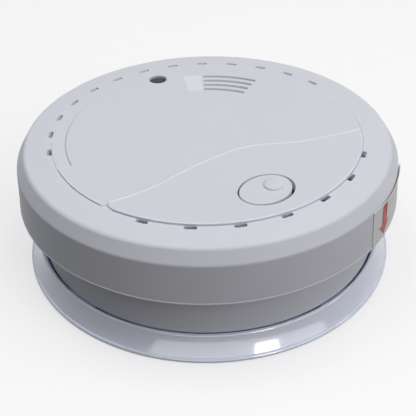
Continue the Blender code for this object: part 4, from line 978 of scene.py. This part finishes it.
def crescent_end(angle, shares):
    """Line in plan across the crescent at an angle, at shares of its width."""
    width = PANEL_RADIUS - CRESCENT_RADIUS
    return [polar(CRESCENT_RADIUS + share * width, angle) for share in shares]


def panel_beads():
    """Beads along the S-shaped edge, both panels' round edges and the crescent's two ends."""
    round_edge = PANEL_RADIUS - 0.3 * MM
    return merged([
        bead(s_line(0.12 * MM)[3:], 0.75 * MM, FRONT_PANEL_HEIGHT, 0.16 * MM),
        bead(arc(round_edge, FRONT_PANEL_CORNER - 358.5, -3.5, 110), 0.45 * MM, FRONT_PANEL_HEIGHT),
        bead(arc(round_edge, CRESCENT_TO + 1.0, BACK_PANEL_CORNER - 1.5, 40), 0.4 * MM,
             BACK_PANEL_HEIGHT),
        bead(crescent_end(CRESCENT_TO + 0.4, (0.15, 0.5, 0.95)), 0.5 * MM, BACK_PANEL_HEIGHT, 0.15 * MM),
        bead(crescent_end(CRESCENT_FROM - 0.4, (0.3, 0.5, 0.9)), 0.5 * MM, BACK_PANEL_HEIGHT,
             0.15 * MM)])


def grille_slots():
    """Cutters for the curved slots over the sounder, which lean inward as they go down."""
    slots = []
    for row in range(GRILLE_ROWS):
        middle = GRILLE_RADIUS - GRILLE_PITCH * row
        outline = arc(middle + GRILLE_SLOT / 2, GRILLE_FROM, GRILLE_OPEN_TO, 12)
        outline += arc(middle - GRILLE_SLOT / 2, GRILLE_OPEN_TO, GRILLE_FROM, 12)
        slot = prism(eased(outline, 0.25 * MM, 4), COVER_CEILING - BURY, FRONT_PANEL_HEIGHT + BURY)
        for vert in slot.verts:
            lean = 1 + GRILLE_LEAN * (vert.co.z - BACK_PANEL_HEIGHT) / middle
            vert.co.x *= lean
            vert.co.y *= lean
        slots.append(slot)
    return slots


def grille_patch():
    """Thin plain field beside the slots."""
    outer = GRILLE_RADIUS + GRILLE_PITCH * 0.35
    inner = GRILLE_RADIUS - GRILLE_PITCH * (GRILLE_ROWS - 0.65)
    start = GRILLE_OPEN_TO + 1.0
    outline = arc(outer, start, GRILLE_FIELD_TO, 12) + arc(inner, GRILLE_FIELD_TO, start, 12)
    return prism(eased(outline, 0.4 * MM, 4), BACK_PANEL_HEIGHT - GAP,
                 BACK_PANEL_HEIGHT + GRILLE_FIELD_RISE)


def radial_block(inner, outer, width, low, high):
    """Box that stands on +X between two radii."""
    return block((inner, -width / 2, low), (outer, width / 2, high))


def cross_rod(radius, length):
    """Rod along the button's hinge."""
    half = length / 2
    edge = 0.1 * MM
    bm = turned_bm([(0.0, -half), (radius - edge, -half), (radius, -half + edge), (radius, half - edge),
                    (radius - edge, half), (0.0, half)], 24)
    for degrees, axis in ((90, 'X'), (BUTTON_TURN, 'Z')):
        bmesh.ops.rotate(bm, verts=bm.verts, cent=(0, 0, 0),
                         matrix=Matrix.Rotation(math.radians(degrees), 3, axis))
    bmesh.ops.translate(bm, verts=bm.verts, vec=(*at_button(-HINGE_OFFSET), HINGE_HEIGHT))
    return bm


def button_block(low_u, high_u, low_v, high_v, low, high):
    """Box in the button's own directions."""
    return prism([at_button(low_u, low_v), at_button(high_u, low_v), at_button(high_u, high_v),
                  at_button(low_u, high_v)], low, high)


# ------------------------------------------------------------------------------ operators
class ALARM_OT_mounting_plate(bpy.types.Operator):
    """Make the glossy mounting plate with its hollow flare, hooks and keyholes"""
    bl_idname = "alarm.mounting_plate"
    bl_label = "Mounting plate"

    def execute(self, context):
        gloss = made(abs_polished)
        plate = turned("plate_with_flare", plate_profile(), gloss)
        hooks = round_array(plate_hook(), LUG_COUNT, LUG_FIRST, 360.0 / LUG_COUNT, gloss)
        combine(plate, hooks, 'UNION')
        combine(plate, [keyhole(y) for y in KEYHOLE_PLACES], 'DIFFERENCE')
        finish(soften(plate), gloss, "ceiling_plate", "gloss_white", "mounting_plate")
        return {'FINISHED'}


class ALARM_OT_back_housing(bpy.types.Operator):
    """Make the matte tray with its neck, lugs, posts and battery compartment"""
    bl_idname = "alarm.back_housing"
    bl_label = "Back housing"

    def execute(self, context):
        matte = made(abs_moulded_matte)
        housing = turned("housing_tray", housing_profile(), matte)
        battery_low, battery_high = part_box("battery_jacket")
        contact_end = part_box("contact_positive")[0].y + 0.5 * MM
        side = 0.4 * MM
        wall = 1.2 * MM
        low = Vector((battery_low.x - side, battery_low.y - GAP, HOUSING_BOTTOM))
        high = Vector((battery_high.x + side, contact_end + GAP, battery_high.z + GAP))
        post = POST_DIAMETER / 2
        foot = HOUSING_FLOOR[1] - BURY
        post_shape = [(0.0, BOARD_BOTTOM - GAP), (post, BOARD_BOTTOM - GAP), (post + GAP, foot), (0.0, foot)]
        posts = [turned_bm(post_shape, 32, middle) for middle in SCREW_PLACES]
        shell = block((low.x - wall, low.y - wall, LUG_HEIGHTS[0]),
                      (high.x + wall, high.y + wall, high.z + wall))
        combine(housing, [shell, *posts], 'UNION')
        lug = ring_piece(SPIGOT_RADIUS - BURY, SPIGOT_RADIUS + LUG_REACH, -LUG_HALF_ANGLE, LUG_HALF_ANGLE,
                         *LUG_HEIGHTS, 6)
        combine(housing, round_array(lug, LUG_COUNT, LUG_FIRST, 360.0 / LUG_COUNT, matte), 'UNION')
        combine(housing, [block((low.x, low.y, low.z - BURY), tuple(high))], 'DIFFERENCE')
        slot_half = 2.8 * MM
        slots = []
        for node in ("contact_positive", "contact_negative"):
            contact_low, contact_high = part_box(node)
            middle = (contact_low.x + contact_high.x) / 2
            slots.append(block((middle - slot_half, high.y - BURY, BOARD_TOP),
                               (middle + slot_half, high.y + wall + BURY, BOARD_TOP + 1.1 * MM)))
        hole_shape = [(0.0, BOARD_BOTTOM), (SCREW_HOLE_RADIUS, BOARD_BOTTOM),
                      (SCREW_HOLE_RADIUS, HOUSING_FLOOR[1]), (0.0, HOUSING_FLOOR[1])]
        holes = [turned_bm(hole_shape, 24, middle) for middle in SCREW_PLACES]
        combine(housing, slots + holes, 'DIFFERENCE')
        catch = radial_block(NECK_INNER - BURY, NECK_INNER + SNAP_REACH, SNAP_WIDTH + 2 * GAP, SNAP_HEIGHT,
                             SNAP_HEIGHT + 2.6 * MM)
        combine(housing, round_array(catch, SNAP_COUNT, 0.0, 360.0 / SNAP_COUNT, matte), 'DIFFERENCE')
        finish(soften(housing), matte, "alarm", "matte_white", "back_housing")
        return {'FINISHED'}


class ALARM_OT_front_cover(bpy.types.Operator):
    """Make the satin cover with its panels, vents, grille, lamp window, button hole and fine beads"""
    bl_idname = "alarm.front_cover"
    bl_label = "Front cover"

    def execute(self, context):
        satin = made(abs_moulded_satin)
        cover = turned("cover_shell", cover_profile(), satin)
        combine(cover, [back_panel()], 'UNION')
        combine(cover, [front_panel()], 'UNION')
        window = polar(WINDOW_RADIUS, WINDOW_ANGLE)
        boss = WINDOW_DIAMETER / 2 + 1.4 * MM
        boss_low = COVER_CEILING - 5.0 * MM
        ceiling = COVER_CEILING + BURY
        inside = [turned_bm([(0.0, ceiling), (boss, ceiling), (boss, boss_low), (0.0, boss_low)], 40, window)]
        ear = 1.7 * MM
        for side in (-1, 1):
            near, far = sorted((side * 3.1 * MM, side * 4.6 * MM))
            inside.append(button_block(-HINGE_OFFSET - ear, -HINGE_OFFSET + ear, near, far,
                                       HINGE_HEIGHT - ear, ceiling))
        combine(cover, inside, 'UNION')
        gusset = radial_block(NECK_INNER, SHOULDER_RADIUS - COVER_WALL / 2, GUSSET_WIDTH, NECK_TOP + GAP,
                              SHOULDER_HEIGHT)
        pitch = 360.0 / GUSSET_COUNT
        combine(cover, round_array(gusset, GUSSET_COUNT, pitch / 2, pitch, satin), 'UNION')
        leg_outer = NECK_INNER - GAP
        leg = merged([
            radial_block(leg_outer - 1.6 * MM, leg_outer, SNAP_WIDTH, SNAP_HEIGHT, ceiling),
            radial_block(leg_outer - BURY, leg_outer + SNAP_REACH, SNAP_WIDTH - GAP, SNAP_HEIGHT + GAP,
                         SNAP_HEIGHT + 2.0 * MM + GAP)])
        combine(cover, round_array(leg, SNAP_COUNT, 0.0, 360.0 / SNAP_COUNT, satin), 'UNION')
        for count, first, pitch in (FRONT_VENTS, BACK_VENTS):
            combine(cover, round_array(vent(), count, first, pitch, satin), 'DIFFERENCE')
        combine(cover, grille_slots(), 'DIFFERENCE')
        combine(cover, panel_groove(), 'DIFFERENCE')
        eye = WINDOW_DIAMETER / 2
        bevel = 0.15 * MM
        above = FRONT_PANEL_HEIGHT + BURY
        below = boss_low - BURY
        lens_hole = turned_bm([(0.0, above), (eye + bevel, above), (eye + bevel, BACK_PANEL_HEIGHT),
                               (eye, BACK_PANEL_HEIGHT - bevel), (eye, below), (0.0, below)], 48, window)
        button_hole = flared(button_oval(0.0), COVER_CEILING - BURY, FRONT_PANEL_HEIGHT, 0.12 * MM)
        combine(cover, [lens_hole, button_hole], 'DIFFERENCE')
        combine(cover, [cross_rod(HINGE_HOLE_RADIUS, 10.2 * MM)], 'DIFFERENCE')
        finish(soften(cover), satin, "alarm", "cover_white", "front_cover")
        # The beads and the plain field take a lighter colour than the cover: painted highlight along the
        # edges and on the field
        painted_highlight = made(abs_painted_highlight)
        finish(soften(place(panel_beads(), "panel_ridges")), painted_highlight, "alarm", "cover_white")
        finish(soften(place(grille_patch(), "grille_field")), painted_highlight, "alarm", "cover_white")
        return {'FINISHED'}


class ALARM_OT_test_button(bpy.types.Operator):
    """Make the oval test button with its tilted top, raised pip, arm, trunnions and stem"""
    bl_idname = "alarm.test_button"
    bl_label = "Test button"

    def execute(self, context):
        satin = made(abs_moulded_satin)
        half = BUTTON_HOLE[0] / 2 - sizes().button_clearance
        slope = sizes().button_proud / (2 * half)
        skirt = FRONT_PANEL_HEIGHT - BUTTON_SKIRT
        cap = prism(button_oval(sizes().button_clearance), skirt, FRONT_PANEL_HEIGHT, BUTTON_EDGE)
        middle = Vector(BUTTON_PLACE)
        along = Vector(at_button(1.0)) - middle
        for vert in cap.verts:
            if vert.co.z > skirt + BURY:
                vert.co.z += ((vert.co.xy - middle).dot(along) + half) * slope
        back = Vector(at_button(-BUTTON_SET_BACK)) - middle
        bmesh.ops.translate(cap, verts=cap.verts, vec=(*back, 0.0))
        button = place(cap, "button_cap")
        pip = PIP_DIAMETER / 2
        top = FRONT_PANEL_HEIGHT + (PIP_OFFSET + half) * slope
        dome = [(pip * math.sin(a), top + PIP_HEIGHT * (PIP_SIDE + (1 - PIP_SIDE) * math.cos(a)))
                for a in (math.pi / 2 * i / 8 for i in range(9))]
        pieces = [turned_bm(dome + [(pip, top - GAP), (0.0, top - GAP)], 48, at_button(PIP_OFFSET))]
        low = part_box("test_button")[0].z
        tip = STEM_RADIUS - 0.3 * MM
        pieces.append(turned_bm([(0.0, skirt + BURY), (STEM_RADIUS, skirt + BURY),
                                 (STEM_RADIUS, low + 0.3 * MM), (tip, low), (0.0, low)],
                                32, at_button(STEM_OFFSET)))
        arm_half = 2.8 * MM
        pieces.append(button_block(-HINGE_OFFSET - HINGE_ROD_RADIUS, -half + 3.0 * MM, -arm_half, arm_half,
                                   HINGE_HEIGHT - HINGE_ROD_RADIUS, COVER_CEILING - GAP))
        combine(button, pieces, 'UNION')
        combine(button, [cross_rod(HINGE_ROD_RADIUS, 10.6 * MM)], 'UNION')
        finish(soften(button), satin, "button", "cover_white", "test_button")
        return {'FINISHED'}


def wall_radius(height):
    """Radius of the cover's drafted wall at a height."""
    share = (height - COVER_BOTTOM) / (SHOULDER_HEIGHT - COVER_BOTTOM)
    return COVER_RADIUS - COVER_LIP - (COVER_DRAFT - COVER_LIP) * share


def label_lift(angle, height):
    """How far the label stands off the wall, where its top edge has let go past one corner."""
    share = min(max((angle - LABEL_LOOSE_FROM) / LABEL_LOOSE_OVER, 0.0), 1.0)
    loose = SHOULDER_HEIGHT - LABEL_LOOSE_DEPTH
    up = min(max((height - loose) / LABEL_LOOSE_DEPTH, 0.0), 1.0)
    return LABEL_LIFT * share * up * up


def wrapped(columns, off, thickness):
    """Thin curved sheet on the wall, with the label's lift, from columns of (angle, height) points."""
    bm = bmesh.new()
    rings = []
    for column in columns:
        near = []
        far = []
        for angle, height in column:
            radius = wall_radius(height) + off + label_lift(angle, height)
            near.append(bm.verts.new((*polar(radius, angle), height)))
            far.append(bm.verts.new((*polar(radius + thickness, angle), height)))
        rings.append((near, far))
    for (near_a, far_a), (near_b, far_b) in zip(rings, rings[1:]):
        for k in range(len(near_a) - 1):
            bm.faces.new((near_a[k], near_a[k + 1], near_b[k + 1], near_b[k]))
            bm.faces.new((far_a[k], far_b[k], far_b[k + 1], far_a[k + 1]))
        bm.faces.new((near_a[0], near_b[0], far_b[0], far_a[0]))
        bm.faces.new((near_a[-1], far_a[-1], far_b[-1], near_b[-1]))
    for near, far in (rings[0], rings[-1]):
        for k in range(len(near) - 1):
            bm.faces.new((near[k], far[k], far[k + 1], near[k + 1]))
    bmesh.ops.recalc_face_normals(bm, faces=bm.faces)
    return bm


class ALARM_OT_side_label(bpy.types.Operator):
    """Make the curved paper label on the cover's wall and its printed arrow"""
    bl_idname = "alarm.side_label"
    bl_label = "Side label"

    def execute(self, context):
        low, high = LABEL_HEIGHTS
        columns = 40
        rows = 10
        grid = [[(LABEL_FROM + (LABEL_TO - LABEL_FROM) * i / columns, low + (high - low) * k / rows)
                 for k in range(rows + 1)] for i in range(columns + 1)]
        label = place(wrapped(grid, LABEL_OFF, LABEL_THICKNESS), "label_sheet")
        finish(soften(label), made(coated_label_paper), "alarm", "label_paper", "side_label")
        arrow = []
        for i in range(-6, 7):
            share = abs(i) / 6
            angle = ARROW_ANGLE + math.degrees(ARROW_HEAD_WIDTH / 2 * i / 6 / COVER_RADIUS)
            tip = ARROW_TIP + (ARROW_NECK - ARROW_TIP) * share
            inside = share * ARROW_HEAD_WIDTH <= ARROW_SHAFT_WIDTH
            top = ARROW_TOP if inside else ARROW_NECK + 0.01 * MM
            arrow.append([(angle, tip + (top - tip) * k / 8) for k in range(9)])
        ink_off = LABEL_OFF + LABEL_THICKNESS + INK_OFF
        ink = place(wrapped(arrow, ink_off, INK_THICKNESS), "label_arrow")
        finish(soften(ink), made(printed_ink), "alarm", "label_paper")
        return {'FINISHED'}


class ALARM_OT_light_guide(bpy.types.Operator):
    """Make the clear rod that carries the lamp's light to the window, with its domed end"""
    bl_idname = "alarm.light_guide"
    bl_label = "Light guide"

    def execute(self, context):
        low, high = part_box("led_light_guide")
        top = BACK_PANEL_HEIGHT - GAP
        radius = (high.x - low.x) / 2
        dome = 0.5 * MM
        profile = [(radius * math.sin(a), top - dome + dome * math.cos(a))
                   for a in (math.pi / 2 * i / 10 for i in range(11))]
        profile += [(radius, low.z + 0.3 * MM), (radius - 0.3 * MM, low.z), (0.0, low.z)]
        guide = place(turned_bm(profile, 48, polar(WINDOW_RADIUS, WINDOW_ANGLE)), "guide_rod")
        finish(soften(guide, 50.0), made(acrylic_rod), "alarm", "clear_rod", "led_light_guide")
        return {'FINISHED'}


class ALARM_OT_insect_screen(bpy.types.Operator):
    """Make the steel mesh round the optical chamber"""
    bl_idname = "alarm.insect_screen"
    bl_label = "Insect screen"

    def execute(self, context):
        low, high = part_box("insect_screen")
        middle = (low + high) / 2
        inset = 0.2 * MM
        radius = (high.x - low.x) / 2 - inset
        wires = 84
        rows = 6
        bm = bmesh.new()
        rings = []
        for k in range(rows + 1):
            level = low.z + inset + (high.z - low.z - 2 * inset) * k / rows
            rings.append([bm.verts.new((*polar(radius, 360.0 * i / wires, middle.xy), level))
                          for i in range(wires)])
        for lower, upper in zip(rings, rings[1:]):
            for i in range(wires):
                bm.faces.new((lower[i - 1], lower[i], upper[i], upper[i - 1]))
        screen = place(bm, "screen_mesh")
        wire = screen.modifiers.new("wires", 'WIREFRAME')
        wire.thickness = 0.36 * MM
        wire.use_even_offset = False
        wire.use_boundary = True
        bake(screen)
        face_outwards(screen.data)
        finish(soften(screen), made(plated_steel), "alarm", "steel", "insect_screen")
        return {'FINISHED'}


class ALARM_OT_boost_coil(bpy.types.Operator):
    """Make the coil: a ferrite drum with close turns of enamelled wire"""
    bl_idname = "alarm.boost_coil"
    bl_label = "Boost coil"

    def execute(self, context):
        low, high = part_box("boost_coil")
        middle = ((low + high) / 2).xy
        radius = (high.x - low.x) / 2
        flange = 1.2 * MM
        core = radius * 0.55
        drum = place(turned_bm(filleted([
            (0.0, high.z, 0.0), (radius, high.z, 0.3 * MM), (radius, high.z - flange, 0.2 * MM),
            (core, high.z - flange, 0.0), (core, low.z + flange, 0.0), (radius, low.z + flange, 0.2 * MM),
            (radius, low.z, 0.3 * MM), (0.0, low.z, 0.0)], 3), 40, middle), "coil_drum")
        finish(soften(drum), made(pressed_ferrite), "alarm", "copper", "boost_coil")
        wire = 0.25 * MM
        turns = 10
        height = high.z - low.z - 2 * flange - 4 * wire
        curve = bpy.data.curves.new("coil_wire", 'CURVE')
        curve.dimensions = '3D'
        curve.bevel_depth = wire
        curve.bevel_resolution = 2
        curve.use_fill_caps = True
        spline = curve.splines.new('POLY')
        steps = 20
        spline.points.add(turns * steps)
        for i, point in enumerate(spline.points):
            x, y = polar(radius - 2.4 * wire, 360.0 * i / steps, middle)
            point.co = (x, y, low.z + flange + 2 * wire + height * i / (turns * steps), 1.0)
        winding = bpy.data.objects.new("coil_wire", curve)
        context.scene.collection.objects.link(winding)
        evaluated = winding.evaluated_get(context.evaluated_depsgraph_get())
        mesh = bpy.data.meshes.new_from_object(evaluated)
        bpy.data.objects.remove(winding)
        wound = bpy.data.objects.new("coil_winding", mesh)
        context.scene.collection.objects.link(wound)
        face_outwards(mesh, 1e-7)
        finish(soften(wound, 60.0), made(enamelled_copper), "alarm", "copper")
        return {'FINISHED'}


# Material of each part of the model that stays as it is
CARRIED = {
    "ir_emitter": clear_epoxy, "photodiode": dark_epoxy, "indicator_led": lamp_epoxy_red,
    "circuit_board": glass_epoxy_board, "piezo_brass_disc": rolled_brass,
    "piezo_ceramic": fired_ceramic, "battery_jacket": printed_battery_jacket,
    "capacitor_large": pvc_sleeve, "capacitor_small": pvc_sleeve,
    "tact_switch_plunger": nylon_black, "tact_switch_body": nylon_black,
    "chamber_base": nylon_black, "chamber_cap": nylon_black, "sounder_housing": nylon_black,
    "battery_terminal_plate": nylon_black, "controller_chip": nylon_black,
    "sounder_spring_main": plated_steel, "sounder_spring_feedback": plated_steel,
    "sounder_spring_brass": plated_steel, "battery_terminal_positive": plated_steel,
    "battery_terminal_negative": plated_steel, "contact_positive": plated_steel,
    "contact_negative": plated_steel, "board_screw_1": plated_steel, "board_screw_2": plated_steel,
    "board_screw_3": plated_steel, "board_screw_4": plated_steel,
}


class ALARM_OT_inner_finishes(bpy.types.Operator):
    """Give the parts inside the alarm their real materials"""
    bl_idname = "alarm.inner_finishes"
    bl_label = "Inner finishes"

    def execute(self, context):
        for node, maker in CARRIED.items():
            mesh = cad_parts[node].data
            if not mesh.materials:
                mesh.materials.append(None)
            for i in range(len(mesh.materials)):
                mesh.materials[i] = made(maker)
        return {'FINISHED'}


# Colours of the lights and of what the glossy pieces reflect around them, and the floor's size
WARM_WHITE = (1.0, 0.995, 0.99)
COOL_WHITE = (0.96, 0.975, 1.0)
WINDOW_WHITE = (0.97, 0.98, 1.0)
SURROUND_COLOUR = (0.93, 0.96, 1.0, 1.0)
SURROUND_STRENGTH = 0.8
FLOOR_HALF = 4.0
FLOOR_LEVEL = -0.1 * MM
STUDIO_DISTANCE = 0.9
STUDIO_SIZE = (0.6, 0.6)
REFLECTED_DISTANCE = 1.3

# Camera: place in metres, angles in degrees, focal length and sensor width in millimetres
CAMERA_PLACE = (0.0, -189.64 * MM, 146.4 * MM)
CAMERA_PITCH = 35.762
CAMERA_YAW = -0.0323
CAMERA_ROLL = -1.155
CAMERA_LENS = 72.42
CAMERA_SENSOR = 36.0

# Name, direction from the alarm, power in watts and colour of each soft light
STUDIO_LIGHTS = (
    ("overhead", (0.0, 0.0, 1.0), 2.85, WARM_WHITE),
    ("right", (0.7, -0.2, 0.8), 1.35, WARM_WHITE),
    ("left", (-0.7, -0.2, 0.8), 0.85, COOL_WHITE),
    ("front right", (0.7, -0.8, 0.62), 2.5, (1.0, 0.99, 0.985)),
    ("back left", (-0.55, 0.35, 1.0), 1.2, COOL_WHITE),
    ("back right", (0.55, 0.35, 1.0), 0.9, WARM_WHITE),
)

# Name, direction, size in metres and power of each light that only shows as a reflection
REFLECTED_LIGHTS = (
    ("window", (0.45, -0.76, 0.3), (0.3, 0.6), 5.0),
    ("side window", (0.93, -0.19, 0.3), (0.2, 0.45), 1.2),
    ("pale wall", (0.25, -0.8, 0.3), (3.0, 1.2), 22.0),
)


def area_light(name, direction, distance, size, power, colour):
    """Soft rectangular light that faces the alarm from a direction."""
    data = bpy.data.lights.new(name, 'AREA')
    data.shape = 'RECTANGLE'
    data.size, data.size_y = size
    data.energy = power
    data.color = colour
    light = bpy.data.objects.new(name, data)
    bpy.context.scene.collection.objects.link(light)
    towards = Vector(direction).normalized()
    light.location = towards * distance
    light.rotation_euler = towards.to_track_quat('Z', 'Y').to_euler()
    light.visible_camera = False
    return light


class ALARM_OT_stage(bpy.types.Operator):
    """Set up the plain floor, the soft lights and the camera"""
    bl_idname = "alarm.stage"
    bl_label = "Stage"

    def execute(self, context):
        scene = context.scene
        corners = ((-FLOOR_HALF, -FLOOR_HALF), (FLOOR_HALF, -FLOOR_HALF), (FLOOR_HALF, FLOOR_HALF),
                   (-FLOOR_HALF, FLOOR_HALF))
        bm = bmesh.new()
        bm.faces.new([bm.verts.new((x, y, FLOOR_LEVEL)) for x, y in corners])
        floor = place(bm, "floor")
        floor.data.materials.append(made(painted_floor))
        floor.visible_diffuse = False
        for name, direction, power, colour in STUDIO_LIGHTS:
            area_light(name, direction, STUDIO_DISTANCE, STUDIO_SIZE, power, colour)
        bpy.data.objects["front right"].visible_glossy = False
        glossy = bpy.data.collections.new("glossy pieces")
        glossy.objects.link(bpy.data.objects["plate_with_flare"])
        for name, direction, size, power in REFLECTED_LIGHTS:
            light = area_light(name, direction, REFLECTED_DISTANCE, size, power, WINDOW_WHITE)
            light.visible_diffuse = False
            light.light_linking.receiver_collection = glossy
        world = bpy.data.worlds.new("studio")
        world.use_nodes = True
        background = world.node_tree.nodes["Background"]
        background.inputs["Color"].default_value = SURROUND_COLOUR
        background.inputs["Strength"].default_value = SURROUND_STRENGTH
        scene.world = world
        world.cycles_visibility.diffuse = False
        scene.view_settings.view_transform = 'Standard'
        data = bpy.data.cameras.new("camera")
        data.lens = CAMERA_LENS
        data.sensor_width = CAMERA_SENSOR
        camera = bpy.data.objects.new("camera", data)
        scene.collection.objects.link(camera)
        pitch = math.radians(CAMERA_PITCH)
        yaw = math.radians(CAMERA_YAW)
        roll = math.radians(CAMERA_ROLL)
        ahead = Vector((math.sin(yaw) * math.cos(pitch), math.cos(yaw) * math.cos(pitch),
                        -math.sin(pitch)))
        level = Vector((math.cos(yaw), -math.sin(yaw), 0.0))
        upward = level.cross(ahead)
        right = level * math.cos(roll) + upward * math.sin(roll)
        above = upward * math.cos(roll) - level * math.sin(roll)
        turn = Matrix((right, above, -ahead)).transposed()
        camera.matrix_world = Matrix.Translation(CAMERA_PLACE) @ turn.to_4x4()
        scene.camera = camera
        return {'FINISHED'}


PIECES = (
    ALARM_OT_mounting_plate, ALARM_OT_back_housing, ALARM_OT_front_cover, ALARM_OT_test_button,
    ALARM_OT_side_label, ALARM_OT_light_guide, ALARM_OT_insect_screen, ALARM_OT_boost_coil,
    ALARM_OT_inner_finishes, ALARM_OT_stage)


class ALARM_PT_sidebar(bpy.types.Panel):
    """Settings and makers of the smoke alarm"""
    bl_label = "Smoke alarm"
    bl_idname = "ALARM_PT_sidebar"
    bl_space_type = 'VIEW_3D'
    bl_region_type = 'UI'
    bl_category = "Smoke alarm"

    def draw(self, context):
        for group in (context.scene.alarm_sizes, context.scene.alarm_colours):
            column = self.layout.column(align=True)
            for name in group.bl_rna.properties.keys():
                if name not in ("rna_type", "name"):
                    column.prop(group, name)
        for piece in PIECES:
            self.layout.operator(piece.bl_idname)


CLASSES = (AlarmSizes, AlarmColours, *PIECES, ALARM_PT_sidebar)


def register():
    """Register the classes and their settings."""
    for cls in CLASSES:
        bpy.utils.register_class(cls)
    bpy.types.Scene.alarm_sizes = PointerProperty(type=AlarmSizes)
    bpy.types.Scene.alarm_colours = PointerProperty(type=AlarmColours)


def unregister():
    """Remove the settings and the classes."""
    del bpy.types.Scene.alarm_colours
    del bpy.types.Scene.alarm_sizes
    for cls in reversed(CLASSES):
        bpy.utils.unregister_class(cls)


def main():
    """Make every piece and the stage."""
    register()
    for piece in PIECES:
        group, operator = piece.bl_idname.split(".")
        getattr(getattr(bpy.ops, group), operator)()


if __name__ == "__main__":
    main()
